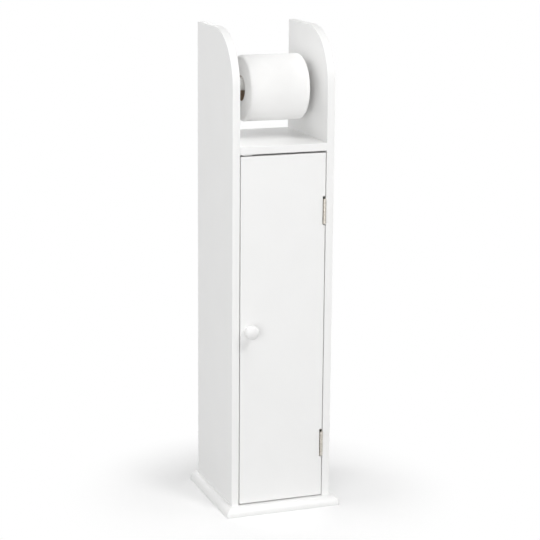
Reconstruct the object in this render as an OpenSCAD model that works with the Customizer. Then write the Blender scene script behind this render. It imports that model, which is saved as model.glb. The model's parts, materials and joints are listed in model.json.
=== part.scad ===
// Free-standing cabinet for spare toilet rolls, with an open bay on top of it where one
// roll hangs on a spring-loaded roller. Millimetres, +Z up, front towards -Y.
// The origin is the centre of the underside of the base board, on the floor.

/* [Cabinet] */
// Height from the floor to the top of the side panels
overall_h = 780; // [760:5:820]
// Width over the two side panels
body_w = 170; // [166:1:180]
// Depth of the side panels, from front edge to back edge
side_d = 176; // [170:1:190]
// Thickness of the painted boards
board_t = 12.5; // [12:0.5:14]
// Radius of the rounded top front corner of each side panel
corner_r = 90; // [60:5:100]
// Height of the shelf's top face above the floor
shelf_top_z = 601; // [595:1:605]
// Thickness of the back panel
back_t = 3; // [2.5:0.5:4]
// Width of the rebate that the back panel sits in
rebate_w = 6; // [5:0.5:7]

/* [Base] */
// Thickness of the base board
base_t = 13.5; // [13:0.5:16]
// Radius of the quarter-round moulding along its edges
base_round = 12; // [8:1:12]
// Reach of the base board past each side panel
base_side_reach = 13; // [8:1:20]
// Reach of the base board in front of the side panels
base_front_reach = 18; // [10:1:24]
// Reach of the base board behind the side panels
base_back_reach = 4; // [2:1:8]

/* [Door] */
// Gap under the door
door_gap_below = 2; // [1.8:0.1:3]
// Gap over the door, which takes the plate of the catch
door_gap_above = 3; // [2:0.1:3.2]
// Gap between the door and each side panel
door_gap_x = 1.5; // [1.2:0.1:2]
// Height of the knob above the floor
knob_z = 307; // [200:1:450]
// Distance of the knob's centre from the free edge of the door
knob_inset = 13.5; // [12:0.5:30]
// Diameter of the knob
knob_d = 23.5; // [20:0.5:24]
// Length of the knob, from the door to its front
knob_l = 25; // [23:1:28]

/* [Hinges] */
// Height of each hinge
hinge_h = 41; // [36:1:50]
// Height of the lower hinge's bottom end above the floor
lower_hinge_z = 83.5; // [60:0.5:120]
// Height of the upper hinge's bottom end above the floor
upper_hinge_z = 471; // [440:1:500]
// Number of knuckles on a hinge, shared by its two leaves
knuckle_count = 6; // [4:2:8]
// Outer diameter of the knuckles
knuckle_d = 5; // [4.6:0.2:5]
// Diameter of the hinge pin
hinge_pin_d = 2.2; // [2:0.1:2.6]
// Distance of the pin's axis in front of the door's face
pin_proud = 1; // [0.5:0.25:1.5]

/* [Roll holder] */
// Height of the roller's axis above the floor
roller_z = 688.5; // [680:0.5:700]
// Distance of the roller's axis behind the front of the side panels
roller_setback = 88; // [80:0.5:92]
// Outer diameter of the roller
roller_d = 22; // [20:1:24]
// Travel of the inner half into the outer half
plunger_travel = 9; // [8:1:10]

/* [Toilet roll] */
// Diameter of the roll
roll_d = 106; // [95:1:112]
// Length of the roll
roll_l = 99; // [95:1:105]
// Distance of the roll's middle to the right of the bay's middle
roll_shift = 8; // [0:0.5:10]
// Diameter of the hole in the core
core_hole_d = 38; // [36:1:44]
// Thickness of the core's wall
core_wall = 1; // [1:0.1:2]

/* [Hidden] */
$fn = 64;
cut = 1;        // how far a cutting shape runs past the face that it cuts

paint = [0.96, 0.96, 0.95];
steel = [0.75, 0.74, 0.72];

// Faces of the boards
body_x = body_w / 2;
inner_x = body_x - board_t;
base_w = body_w + 2 * base_side_reach;
base_d = base_front_reach + side_d + base_back_reach;
front_y = base_front_reach - base_d / 2;
back_y = front_y + side_d;
panel_y = back_y - back_t;
base_lip = base_t - base_round;
shelf_z = shelf_top_z - board_t;
shelf_mid_z = shelf_z + board_t / 2;

// Door
door_x = inner_x - door_gap_x;
door_back_y = front_y + board_t;
door_z = base_t + door_gap_below;
door_top_z = shelf_z - door_gap_above;
knob_x = knob_inset - door_x;

// Hinges. The barrel is clear of both the side panel and the notch in the door.
clearance = 0.3;
leaf_t = 1;
knuckle_r = knuckle_d / 2;
knuckle_pitch = hinge_h / knuckle_count;
pin_x = inner_x - clearance - knuckle_r;
pin_y = front_y - pin_proud;
pin_run = 0.07; // radial play of the door's knuckles on the pin
notch_x = pin_x - knuckle_r - clearance;
notch_below = 1.5;
notch_above = 4;
notch_round = 1.5;
leaf_front_y = front_y + 2.8;
frame_leaf_back_y = front_y + 15;
door_leaf_back_y = front_y + 11.5;
frame_screw_y = front_y + 9.5;
door_screw_y = front_y + 7.2;
hinge_screw_spread = 12;    // half the height between a leaf's two screws
hinge_zs = [lower_hinge_z, upper_hinge_z];

// Screws: shank diameter, length over all, head diameter, head height
hinge_screw_size = [3, 10.5, 5.4, 1.5];
base_screw_size = [4, 40, 8, 2.6];
catch_screw_size = [3, 11, 5.4, 1.5];
strike_screw_size = [3, 10, 5.2, 1.5];
knob_screw_size = [4, 26, 8, 2.4];
base_screw_sink = 0.5;      // how far the base screws' heads lie inside the board

// Joints of the boards, each a place along the depth of the cabinet
cam_ys = [front_y + 41, back_y - 43];
shelf_dowel_ys = [front_y + 19, back_y - 21];
base_dowel_ys = [front_y + 61, back_y - 61];
base_screw_ys = [front_y + 28, back_y - 30];
dowel_d = 6;
dowel_l = 24;
dowel_in_face = 8;          // length of a dowel that sits in the face of a board
dowel_spare = 0.5;          // room past each end of a dowel
dowel_chamfer = 1;
cam_d = 12;
cam_h = 9.5;
cam_inset = 24;             // from the end of the shelf to the middle of a cam disc
cam_bore_d = 7;
cam_thread_d = 5;
cam_thread_l = 9;

// Pins of the back panel
back_pin_d = 1.2;
back_pin_l = 16;
back_pin_head_d = 2.8;
back_pin_head_h = 0.6;
back_pin_x = inner_x + rebate_w / 2;
back_pin_zs = [for (i = [0 : 5]) base_t + 40 + i * (shelf_z - base_t - 60) / 5];
shelf_pin_xs = [-45, 0, 45];
back_pins = concat(
    [for (z = back_pin_zs) [-back_pin_x, z]],
    [for (z = back_pin_zs) [back_pin_x, z]],
    [for (x = shelf_pin_xs) [x, shelf_mid_z]]);

// Catch. Its plate lies under the shelf and runs forward over the door.
catch_x = -60.5;
catch_w = 16;
catch_plate_t = 1;
catch_lug_t = 2.5;
catch_h = 12;
catch_front_y = door_back_y + 1.1;
catch_block_y = catch_front_y + 15;
catch_back_y = catch_block_y + 10;
catch_screw_y = (catch_block_y + catch_back_y) / 2;
catch_screw_offset = 4.5;
magnet_size = [12, 8, 7];
magnet_z = shelf_z - 10;
strike_t = 0.8;
strike_size = [14, strike_t, 15];
strike_top_z = door_top_z - 1;
strike_screw_z = strike_top_z - 12.3;

// Roller: two telescoping tubes, each with a closed end and a spigot
roller_y = front_y + roller_setback;
roller_end_gap = 0.6;       // between the roller and each side panel
roller_wall = 2;
roller_x = inner_x - roller_end_gap;
slide_r = 9.5;              // outer radius of the inner tube
slide_run = 0.08;           // radial play between the two tubes
slide_bore_r = 8;
outer_tube_end_x = 24;
inner_tube_end_x = -18;
spigot_r = 4.92;
spigot_l = plunger_travel - 3;  // so that the travel takes the spigot out of its socket
socket_r = 5;
socket_depth = 7;
chamfer = 0.8;

// Spring inside the roller
spring_r = 6.2;
spring_wire_r = 0.6;
spring_turns = 16;
spring_steps = 12;
spring_sides = 6;
spring_end_x = roller_x - roller_wall - spring_wire_r - 0.1;

// Toilet roll, hanging from the top of its core
roll_y = roller_y;
roll_z = roller_z + roller_d / 2 + clearance - core_hole_d / 2;
roll_round = 4;
core_short = 0.4;           // how far the core ends inside the paper, at each end

// ---- Shared shapes ----

// Round bar along X, from x0 to x1
module bar_x(x0, x1, r) {
    translate([x0, 0, 0]) rotate([0, 90, 0]) cylinder(h = x1 - x0, r = r);
}

// Its children on the right, and mirrored on the left
module on_both_sides() {
    children();
    mirror([1, 0, 0]) children();
}

// Envelope of a countersunk screw. The head's face is at the origin, the tip is towards -Z.
module screw_body(size) {
    d = size[0];
    tip = d;
    rotate_extrude() polygon([
        [0, 0], [size[2] / 2, 0], [d / 2, -size[3]],
        [d / 2, tip - size[1]], [0, -size[1]]]);
}

// Cross recess in a screw head whose face is at the origin
module cross_recess(d) {
    for (turn = [0, 90])
        rotate([0, 0, turn]) cube([d, d / 4, d / 2], center = true);
}

module countersunk_screw(size) {
    difference() {
        screw_body(size);
        cross_recess(size[0]);
    }
}

// Hole that a countersunk screw fills
module screw_hole(size) {
    screw_body(size);
    cylinder(h = cut, r = size[2] / 2);
}

// Screw with a low round head, which stands on the plane z = 0
module pan_screw(size) {
    d = size[0];
    h = size[3];
    difference() {
        rotate_extrude() polygon([
            [0, h], [size[2] / 2 - h / 2, h], [size[2] / 2, h / 2], [size[2] / 2, 0],
            [d / 2, 0], [d / 2, h - size[1] + d], [0, h - size[1]]]);
        translate([0, 0, h]) cross_recess(d);
    }
}

// Dowel with chamfered ends, standing on the plane z = 0
module dowel() {
    r = dowel_d / 2;
    rotate_extrude() polygon([
        [0, 0], [r - dowel_chamfer, 0], [r, dowel_chamfer],
        [r, dowel_l - dowel_chamfer], [r - dowel_chamfer, dowel_l], [0, dowel_l]]);
}

// ---- Places of the fasteners ----

// Dowels of the shelf, on the right: along X, the middle of the hole at each end
module shelf_dowel_holes() {
    for (y = shelf_dowel_ys)
        translate([0, y, shelf_mid_z])
            bar_x(inner_x - dowel_l + dowel_in_face - dowel_spare,
                  inner_x + dowel_in_face + dowel_spare, dowel_d / 2);
}

// Dowels of the base board, on the right, standing up into the side panel
module base_dowel_holes() {
    for (y = base_dowel_ys)
        translate([inner_x + board_t / 2, y, base_t - dowel_in_face - dowel_spare])
            cylinder(h = dowel_l + 2 * dowel_spare, r = dowel_d / 2);
}

module at_base_screws() {
    on_both_sides()
        for (y = base_screw_ys)
            translate([inner_x + board_t / 2, y, base_screw_sink])
                rotate([180, 0, 0]) children();
}

module at_back_pins() {
    for (place = back_pins)
        translate([place[0], back_y, place[1]])
            rotate([90, 0, 0]) children();
}

// Screws of the leaves on the side panel, driven towards +X
module at_frame_screws() {
    for (z = hinge_zs, up = [-1, 1])
        translate([inner_x - leaf_t, frame_screw_y, z + hinge_h / 2 + up * hinge_screw_spread])
            rotate([0, -90, 0]) children();
}

// Screws of the leaves on the door, driven towards -X
module at_door_screws() {
    for (z = hinge_zs, up = [-1, 1])
        translate([notch_x + leaf_t, door_screw_y, z + hinge_h / 2 + up * hinge_screw_spread])
            rotate([0, 90, 0]) children();
}

module at_catch_screws() {
    for (side = [-1, 1])
        translate([catch_x + side * catch_screw_offset, catch_screw_y, shelf_z - catch_lug_t])
            rotate([180, 0, 0]) children();
}

module at_strike_screw() {
    translate([catch_x, door_back_y + strike_t, strike_screw_z])
        rotate([-90, 0, 0]) children();
}

module at_knob() {
    translate([knob_x, front_y, knob_z]) rotate([90, 0, 0]) children();
}

// ---- Carcass ----

// Edge of the base board: square at the back, quarter-round where it shows
module base_outline(width, round_both) {
    half = width / 2;
    intersection() {
        translate([-half, 0]) square([width, base_t]);
        union() {
            translate([-half, 0]) square([width, base_lip]);
            translate([base_round - half, 0])
                square([width - (round_both ? 2 : 1) * base_round, base_t]);
            translate([base_round - half, base_lip]) circle(base_round);
            if (round_both)
                translate([half - base_round, base_lip]) circle(base_round);
        }
    }
}

module base_board() {
    color(paint) difference() {
        intersection() {
            translate([0, base_d / 2, 0]) rotate([90, 0, 0])
                linear_extrude(base_d) base_outline(base_w, true);
            rotate([90, 0, 90]) translate([0, 0, -base_w / 2])
                linear_extrude(base_w) base_outline(base_d, false);
        }
        on_both_sides() base_dowel_holes();
        at_base_screws() screw_hole(base_screw_size);
    }
}

// Outline of a side panel, seen from its side: X is the depth, Y is the height
module side_outline() {
    arc_x = front_y + corner_r;
    arc_y = overall_h - corner_r;
    union() {
        translate([front_y, base_t]) square([side_d, arc_y - base_t]);
        translate([arc_x, base_t]) square([back_y - arc_x, overall_h - base_t]);
        intersection() {
            translate([arc_x, arc_y]) circle(corner_r, $fn = 128);
            translate([front_y, arc_y]) square(corner_r);
        }
    }
}

// Side panel on the right, with every hole that both panels have
module side_board() {
    difference() {
        translate([inner_x, 0, 0]) rotate([90, 0, 90])
            linear_extrude(board_t) side_outline();
        translate([inner_x - cut, panel_y, base_t - cut])
            cube([rebate_w + cut, back_t + cut, shelf_top_z - base_t + cut]);
        translate([0, roller_y, roller_z])
            bar_x(inner_x - cut, inner_x + socket_depth, socket_r);
        for (y = cam_ys)
            translate([0, y, shelf_mid_z])
                bar_x(inner_x - cut, inner_x + cam_thread_l, cam_thread_d / 2);
        shelf_dowel_holes();
        base_dowel_holes();
        at_base_screws() screw_hole(base_screw_size);
        at_back_pins() cylinder(h = back_pin_l, r = back_pin_d / 2);
    }
}

module left_side_panel() {
    color(paint) mirror([1, 0, 0]) side_board();
}

module right_side_panel() {
    color(paint) difference() {
        side_board();
        at_frame_screws() screw_body(hinge_screw_size);
    }
}

module shelf() {
    color(paint) difference() {
        translate([-inner_x, front_y, shelf_z])
            cube([2 * inner_x, panel_y - front_y, board_t]);
        on_both_sides() {
            shelf_dowel_holes();
            for (y = cam_ys) {
                translate([0, y, shelf_mid_z])
                    bar_x(inner_x - cam_inset, inner_x + cut, cam_bore_d / 2);
                translate([inner_x - cam_inset, y, shelf_z - cut])
                    cylinder(h = cam_h + cut, r = cam_d / 2);
            }
        }
        at_catch_screws() screw_body(catch_screw_size);
        at_back_pins() cylinder(h = back_pin_l, r = back_pin_d / 2);
    }
}

module back_panel() {
    play = 0.2;
    half = inner_x + rebate_w - play;
    color(paint) difference() {
        translate([-half, panel_y, base_t])
            cube([2 * half, back_t, shelf_top_z - base_t]);
        at_back_pins() translate([0, 0, -cut]) cylinder(h = back_pin_l, r = back_pin_d / 2);
    }
}

// ---- Fasteners of the carcass ----

// Bolt on the right: threaded into the side panel, its head held by the cam disc
module cam_bolt() {
    collar = 1.5;
    neck_l = 3;
    head_l = 2.5;
    head_r = 2.5;
    neck_r = 1.4;
    neck_x = inner_x - cam_inset + head_l / 2;
    bar_x(inner_x, inner_x + cam_thread_l, cam_thread_d / 2);
    bar_x(inner_x - collar, inner_x, cam_bore_d / 2);
    bar_x(neck_x + neck_l, inner_x - collar, cam_thread_d / 2);
    bar_x(neck_x, neck_x + neck_l, neck_r);
    bar_x(neck_x - head_l, neck_x, head_r);
}

module cam_bolts() {
    color("silver") on_both_sides()
        for (y = cam_ys)
            translate([0, y, shelf_mid_z]) cam_bolt();
}

// Disc on the right, with the channel that the head of the bolt enters
module cam_disc() {
    slot_w = 5.4;
    translate([inner_x - cam_inset, 0, shelf_z]) difference() {
        cylinder(h = cam_h, r = cam_d / 2);
        translate([-slot_w / 2, -slot_w / 2, board_t / 2 - slot_w / 2])
            cube([cam_d, slot_w, slot_w]);
        cross_recess(cam_d / 2);
    }
}

module cam_discs() {
    color("gray") on_both_sides()
        for (y = cam_ys)
            translate([0, y, 0]) cam_disc();
}

module shelf_dowels() {
    color("burlywood") on_both_sides()
        for (y = shelf_dowel_ys)
            translate([inner_x - dowel_l + dowel_in_face, y, shelf_mid_z])
                rotate([0, 90, 0]) dowel();
}

module base_dowels() {
    color("burlywood") on_both_sides()
        for (y = base_dowel_ys)
            translate([inner_x + board_t / 2, y, base_t - dowel_in_face]) dowel();
}

module base_screws() {
    color("goldenrod") at_base_screws() countersunk_screw(base_screw_size);
}

module back_panel_pins() {
    color("silver") at_back_pins() {
        cylinder(h = back_pin_l, r = back_pin_d / 2);
        translate([0, 0, -back_pin_head_h])
            cylinder(h = back_pin_head_h, r = back_pin_head_d / 2);
    }
}

// ---- Catch and strike ----

module catch_housing() {
    color("white") difference() {
        union() {
            translate([catch_x - catch_w / 2, front_y, shelf_z - catch_plate_t])
                cube([catch_w, catch_back_y - front_y, catch_plate_t]);
            translate([catch_x - catch_w / 2, catch_front_y, shelf_z - catch_h])
                cube([catch_w, catch_block_y - catch_front_y, catch_h]);
            translate([catch_x - catch_w / 2, catch_block_y, shelf_z - catch_lug_t])
                cube([catch_w, catch_back_y - catch_block_y, catch_lug_t]);
        }
        translate([catch_x - magnet_size[0] / 2, catch_front_y - cut, magnet_z])
            cube([magnet_size[0], magnet_size[1] + cut, magnet_size[2]]);
        at_catch_screws() screw_hole(catch_screw_size);
    }
}

module catch_magnet() {
    color("dimgray") translate([catch_x - magnet_size[0] / 2, catch_front_y, magnet_z])
        cube(magnet_size);
}

module catch_screws() {
    color("silver") at_catch_screws() countersunk_screw(catch_screw_size);
}

module strike_plate() {
    color(steel) difference() {
        translate([catch_x - strike_size[0] / 2, door_back_y, strike_top_z - strike_size[2]])
            cube(strike_size);
        at_strike_screw()
            translate([0, 0, -strike_t - cut])
                cylinder(h = strike_t + 2 * cut, r = strike_screw_size[0] / 2);
    }
}

module strike_screw() {
    color("silver") at_strike_screw() pan_screw(strike_screw_size);
}

// ---- Hinges ----

// One leaf of a hinge with its bottom end at z. The frame's leaf carries the top knuckle
// and every second one below it, the door's leaf carries the others.
module hinge_leaf(z, on_door) {
    bore_r = hinge_pin_d / 2 + (on_door ? pin_run : 0);
    leaf_x = on_door ? notch_x : inner_x - leaf_t;
    wrap_x = on_door ? pin_x - knuckle_r : pin_x + knuckle_r - leaf_t;
    leaf_back_y = on_door ? door_leaf_back_y : frame_leaf_back_y;
    play = clearance / 2;
    difference() {
        union() {
            translate([leaf_x, leaf_front_y, z])
                cube([leaf_t, leaf_back_y - leaf_front_y, hinge_h]);
            for (i = [(on_door ? 0 : 1) : 2 : knuckle_count - 1]) {
                low = z + i * knuckle_pitch + (i > 0 ? play : 0);
                high = z + (i + 1) * knuckle_pitch - (i < knuckle_count - 1 ? play : 0);
                translate([pin_x, pin_y, low]) cylinder(h = high - low, r = knuckle_r);
                translate([wrap_x, pin_y, low])
                    cube([leaf_t, leaf_front_y + leaf_t - pin_y, high - low]);
            }
        }
        translate([pin_x, pin_y, z - cut]) cylinder(h = hinge_h + 2 * cut, r = bore_r);
        if (on_door) at_door_screws() screw_hole(hinge_screw_size);
        else at_frame_screws() screw_hole(hinge_screw_size);
    }
}

module hinge_pin(z) {
    color(steel) translate([pin_x, pin_y, z]) cylinder(h = hinge_h, r = hinge_pin_d / 2);
}

module lower_hinge_frame_leaf() {
    color(steel) hinge_leaf(lower_hinge_z, false);
}

module upper_hinge_frame_leaf() {
    color(steel) hinge_leaf(upper_hinge_z, false);
}

module lower_hinge_door_leaf() {
    color(steel) hinge_leaf(lower_hinge_z, true);
}

module upper_hinge_door_leaf() {
    color(steel) hinge_leaf(upper_hinge_z, true);
}

module lower_hinge_pin() {
    hinge_pin(lower_hinge_z);
}

module upper_hinge_pin() {
    hinge_pin(upper_hinge_z);
}

module hinge_frame_screws() {
    color(steel) at_frame_screws() countersunk_screw(hinge_screw_size);
}

module hinge_door_screws() {
    color(steel) at_door_screws() countersunk_screw(hinge_screw_size);
}

// ---- Door ----

// Notch in the door's edge for one hinge, with its inner corners rounded by the cutter
module hinge_notch(z) {
    low = z - notch_below;
    high = z + hinge_h + notch_above;
    depth = door_x - notch_x + cut;
    translate([0, door_back_y + cut, 0]) rotate([90, 0, 0])
        linear_extrude(board_t + 2 * cut) union() {
            translate([notch_x + notch_round, low])
                square([depth - notch_round, high - low]);
            translate([notch_x, low + notch_round])
                square([depth, high - low - 2 * notch_round]);
            for (corner_z = [low + notch_round, high - notch_round])
                translate([notch_x + notch_round, corner_z]) circle(notch_round);
        }
}

module door_panel() {
    color(paint) difference() {
        translate([-door_x, front_y, door_z])
            cube([2 * door_x, board_t, door_top_z - door_z]);
        for (z = hinge_zs) hinge_notch(z);
        at_door_screws() screw_body(hinge_screw_size);
        at_strike_screw() translate([0, 0, strike_screw_size[3] - strike_screw_size[1]])
            cylinder(h = strike_screw_size[1], r = strike_screw_size[0] / 2);
        at_knob() translate([0, 0, -board_t - cut])
            cylinder(h = board_t + 2 * cut, r = knob_screw_size[0] / 2);
    }
}

// Half section of the knob. X is the radius, Y is the distance from the door. The front is
// a low crown that runs smoothly into the round rim, and the rim into a hollow neck.
module knob_outline() {
    neck_r = 6;
    fillet = 2;
    foot_h = 1.5;
    rim_r = 6.5;
    rim_x = knob_d / 2 - rim_r;
    crown_rise = rim_r + 1.5;
    rim_y = knob_l - crown_rise;
    crown_r = (rim_x * rim_x + crown_rise * crown_rise - rim_r * rim_r)
        / (2 * (crown_rise - rim_r));
    fillet_x = neck_r + fillet;
    reach = rim_r + fillet;
    fillet_y = rim_y - sqrt(reach * reach - pow(fillet_x - rim_x, 2));
    difference() {
        union() {
            square([neck_r, rim_y]);
            square([fillet_x, foot_h + fillet]);
            translate([0, fillet_y])
                square([rim_x + (fillet_x - rim_x) * rim_r / reach, rim_y - fillet_y]);
            translate([0, rim_y - rim_r]) square([rim_x, 2 * rim_r]);
            intersection() {
                translate([rim_x, rim_y]) circle(rim_r);
                square([knob_d, knob_l]);
            }
            intersection() {
                translate([0, knob_l - crown_r]) circle(crown_r, $fn = 128);
                translate([0, rim_y])
                    square([rim_x * crown_r / (crown_r - rim_r), crown_rise]);
            }
        }
        translate([fillet_x, foot_h + fillet]) circle(fillet);
        translate([fillet_x, fillet_y]) circle(fillet);
    }
}

module door_knob() {
    hole = knob_screw_size[1] - knob_screw_size[3] - board_t;
    color(paint) at_knob() difference() {
        rotate_extrude() knob_outline();
        translate([0, 0, -cut]) cylinder(h = hole + cut, r = knob_screw_size[0] / 2);
    }
}

module knob_screw() {
    color("silver") at_knob() translate([0, 0, -board_t])
        rotate([180, 0, 0]) pan_screw(knob_screw_size);
}

// ---- Roll holder ----

module at_roller() {
    translate([0, roller_y, roller_z]) children();
}

// Spigot at the right end of the roller
module spigot() {
    translate([roller_x, 0, 0]) rotate([0, 90, 0]) rotate_extrude() polygon([
        [0, 0], [spigot_r, 0], [spigot_r, spigot_l - chamfer],
        [spigot_r - chamfer, spigot_l], [0, spigot_l]]);
}

// Tube along X with a chamfered outer edge at its right end
module tube_body(x0, x1, r) {
    translate([x0, 0, 0]) rotate([0, 90, 0]) rotate_extrude() polygon([
        [0, 0], [r, 0], [r, x1 - x0 - chamfer], [r - chamfer, x1 - x0], [0, x1 - x0]]);
}

module roller_outer_tube() {
    color("whitesmoke") at_roller() mirror([1, 0, 0]) difference() {
        union() {
            tube_body(-outer_tube_end_x, roller_x, roller_d / 2);
            spigot();
        }
        bar_x(-outer_tube_end_x - cut, roller_x - roller_wall, slide_r + slide_run);
    }
}

module roller_inner_tube() {
    color("whitesmoke") at_roller() difference() {
        union() {
            tube_body(inner_tube_end_x, roller_x, slide_r);
            spigot();
        }
        bar_x(inner_tube_end_x - cut, roller_x - roller_wall, slide_bore_r);
    }
}

// One ring of the spring's wire, at step i along the coil
function spring_ring(i) =
    let (turn = 360 * i / spring_steps)
    let (x = spring_end_x * (2 * i / (spring_turns * spring_steps) - 1))
    [for (j = [0 : spring_sides - 1])
        let (around = 360 * j / spring_sides)
        let (r = spring_r + spring_wire_r * cos(around))
        [x + spring_wire_r * sin(around), r * cos(turn), r * sin(turn)]];

module roller_spring() {
    steps = spring_turns * spring_steps;
    n = spring_sides;
    points = [for (i = [0 : steps]) each spring_ring(i)];
    sides = [for (i = [0 : steps - 1], j = [0 : n - 1])
        let (a = i * n + j, b = i * n + (j + 1) % n)
        each [[a, b, b + n], [a, b + n, a + n]]];
    start = [for (j = [1 : n - 2]) [0, j + 1, j]];
    end = [for (j = [1 : n - 2]) [steps * n, steps * n + j, steps * n + j + 1]];
    color("gainsboro") at_roller()
        polyhedron(points = points, faces = concat(sides, start, end));
}

// ---- Toilet roll ----

module at_roll() {
    translate([roll_shift, roll_y, roll_z]) rotate([0, 90, 0]) children();
}

module paper_roll() {
    core_r = core_hole_d / 2 + core_wall;
    rim = roll_d / 2 - roll_round;
    half = roll_l / 2;
    color("white") at_roll() rotate_extrude($fn = 96) union() {
        translate([core_r, -half]) square([rim - core_r, roll_l]);
        translate([core_r, roll_round - half])
            square([roll_d / 2 - core_r, roll_l - 2 * roll_round]);
        for (end = [-1, 1])
            translate([rim, end * (half - roll_round)]) circle(roll_round);
    }
}

module cardboard_core() {
    length = roll_l - 2 * core_short;
    color("peru") at_roll() difference() {
        cylinder(h = length, r = core_hole_d / 2 + core_wall, center = true);
        cylinder(h = length + 2 * cut, r = core_hole_d / 2, center = true);
    }
}

base_board();
left_side_panel();
right_side_panel();
shelf();
back_panel();
cam_bolts();
cam_discs();
shelf_dowels();
base_dowels();
base_screws();
back_panel_pins();
catch_housing();
catch_magnet();
catch_screws();
lower_hinge_frame_leaf();
upper_hinge_frame_leaf();
lower_hinge_pin();
upper_hinge_pin();
hinge_frame_screws();
door_panel();
lower_hinge_door_leaf();
upper_hinge_door_leaf();
hinge_door_screws();
door_knob();
knob_screw();
strike_plate();
strike_screw();
roller_outer_tube();
roller_inner_tube();
roller_spring();
paper_roll();
cardboard_core();
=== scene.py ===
# %% [markdown]
# # A slim cabinet for toilet rolls
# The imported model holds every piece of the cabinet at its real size, in metres, with +Z up and
# the front towards -Y. This lesson keeps those places and gives each piece its finished
# surface: rounded board edges, turned and rolled parts, threads, and a procedural material.

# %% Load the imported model
import json
import math
import random

import bmesh
import bpy
from mathutils import Matrix, Vector


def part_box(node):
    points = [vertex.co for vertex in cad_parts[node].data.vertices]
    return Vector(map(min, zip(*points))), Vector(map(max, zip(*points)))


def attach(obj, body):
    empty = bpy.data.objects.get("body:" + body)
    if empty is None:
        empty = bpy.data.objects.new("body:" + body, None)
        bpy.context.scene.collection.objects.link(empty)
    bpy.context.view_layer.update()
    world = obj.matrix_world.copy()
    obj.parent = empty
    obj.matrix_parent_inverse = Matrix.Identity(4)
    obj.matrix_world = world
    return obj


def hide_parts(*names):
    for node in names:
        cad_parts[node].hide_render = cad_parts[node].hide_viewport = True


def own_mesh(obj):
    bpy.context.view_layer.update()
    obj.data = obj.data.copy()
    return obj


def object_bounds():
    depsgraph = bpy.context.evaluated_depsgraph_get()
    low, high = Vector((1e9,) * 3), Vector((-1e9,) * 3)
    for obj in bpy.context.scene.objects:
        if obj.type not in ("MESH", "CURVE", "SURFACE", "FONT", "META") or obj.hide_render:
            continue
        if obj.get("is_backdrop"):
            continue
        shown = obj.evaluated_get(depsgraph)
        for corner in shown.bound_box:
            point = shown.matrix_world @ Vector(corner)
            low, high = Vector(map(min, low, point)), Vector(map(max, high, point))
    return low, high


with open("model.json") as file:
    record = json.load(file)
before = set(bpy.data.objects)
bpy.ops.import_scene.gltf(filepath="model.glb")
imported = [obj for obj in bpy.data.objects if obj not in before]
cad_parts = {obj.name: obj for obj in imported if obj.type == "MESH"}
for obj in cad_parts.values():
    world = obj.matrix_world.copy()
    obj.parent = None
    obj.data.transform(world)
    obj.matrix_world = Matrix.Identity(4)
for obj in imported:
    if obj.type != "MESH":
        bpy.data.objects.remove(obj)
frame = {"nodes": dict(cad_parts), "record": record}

MM = 0.001
cad_low, cad_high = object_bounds()
scene = bpy.context.scene
print("nodes:", len(frame["nodes"]), "size:", [round(x, 3) for x in cad_high - cad_low])

# %% [markdown]
# ## Camera
# The photograph looks at the cabinet from its left and from above. The camera's place, its
# turn to the right, its tilt and its small roll were solved from the straight edges of the
# boards. A long lens keeps the uprights nearly parallel. The focal length is worked out in
# pixels of the square picture, so it is turned into millimetres for Blender's 36 mm sensor.

# %% Camera
PICTURE_SIDE = 540
FOCAL_PIXELS = 1765
SENSOR = 36
CAMERA_AT = Vector((-0.962, -2.634, 1.040))
TURN = math.radians(20.22)
TILT = math.radians(13.19)
ROLL = math.radians(-0.47)

ahead = Vector((
    math.sin(TURN) * math.cos(TILT), math.cos(TURN) * math.cos(TILT), -math.sin(TILT)))
level = Vector((math.cos(TURN), -math.sin(TURN), 0))
right = Matrix.Rotation(ROLL, 3, ahead) @ level
up = right.cross(ahead)

camera = bpy.data.objects.new("camera", bpy.data.cameras.new("camera"))
scene.collection.objects.link(camera)
camera.data.sensor_width = SENSOR
camera.data.lens = FOCAL_PIXELS / PICTURE_SIDE * SENSOR
camera.matrix_world = Matrix.Translation(CAMERA_AT) @ Matrix(
    (right, up, -ahead)).transposed().to_4x4()
scene.camera = camera
print("lens:", round(camera.data.lens, 1), "mm")

# %% [markdown]
# ## A short way to write node trees
# Shader and geometry trees are built in the script. `add` makes one node: a socket's value is
# a plain number or colour, or the output of another node, which is then linked.

# %% Helper: one node of a tree
def connect(tree, socket, value):
    if isinstance(value, bpy.types.NodeSocket):
        tree.links.new(value, socket)
    else:
        socket.default_value = value


def add(tree, kind, sockets=None, out=0, **settings):
    """Adds a node. The keys of sockets are names or numbers of its inputs."""
    made = tree.nodes.new(kind)
    for name, value in settings.items():
        setattr(made, name, value)
    for key, value in (sockets or {}).items():
        connect(tree, made.inputs[key], value)
    return made.outputs[out]


def maths(tree, operation, *values):
    return add(tree, "ShaderNodeMath", dict(enumerate(values)), operation=operation)


def grey(value):
    return (value, value, value, 1)


print("helpers for node trees are ready")

# %% [markdown]
# ## Light
# A white cabinet is drawn by small differences of light between its faces. The key lamp is
# the smallest. It stands to the right of the camera, halfway up, and throws the knob's soft
# shadow down to the left. A wide, low fill lamp to the left reaches into the bay, on to the
# end of the roll and the wall behind it, and is too wide to throw a second shadow. A lamp on
# the right lights the inner face of the left panel, which passes it on to the end of the
# roll. A lamp overhead lifts the faces that look up, and one far round to the left keeps that
# side from going grey. One stands behind the cabinet. It lights the back and shines through
# the bay, so low that it barely touches the top of the shelf. No view shows the lamps.
#
# The world adds a little from all round. The white background is a matter of what the camera
# and the reflections see, and adds no light: for those rays the world has the strength of
# white.

# %% World
AMBIENT = 0.135

world = bpy.data.worlds.new("studio")
scene.world = world
world.use_nodes = True
sky = world.node_tree


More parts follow.
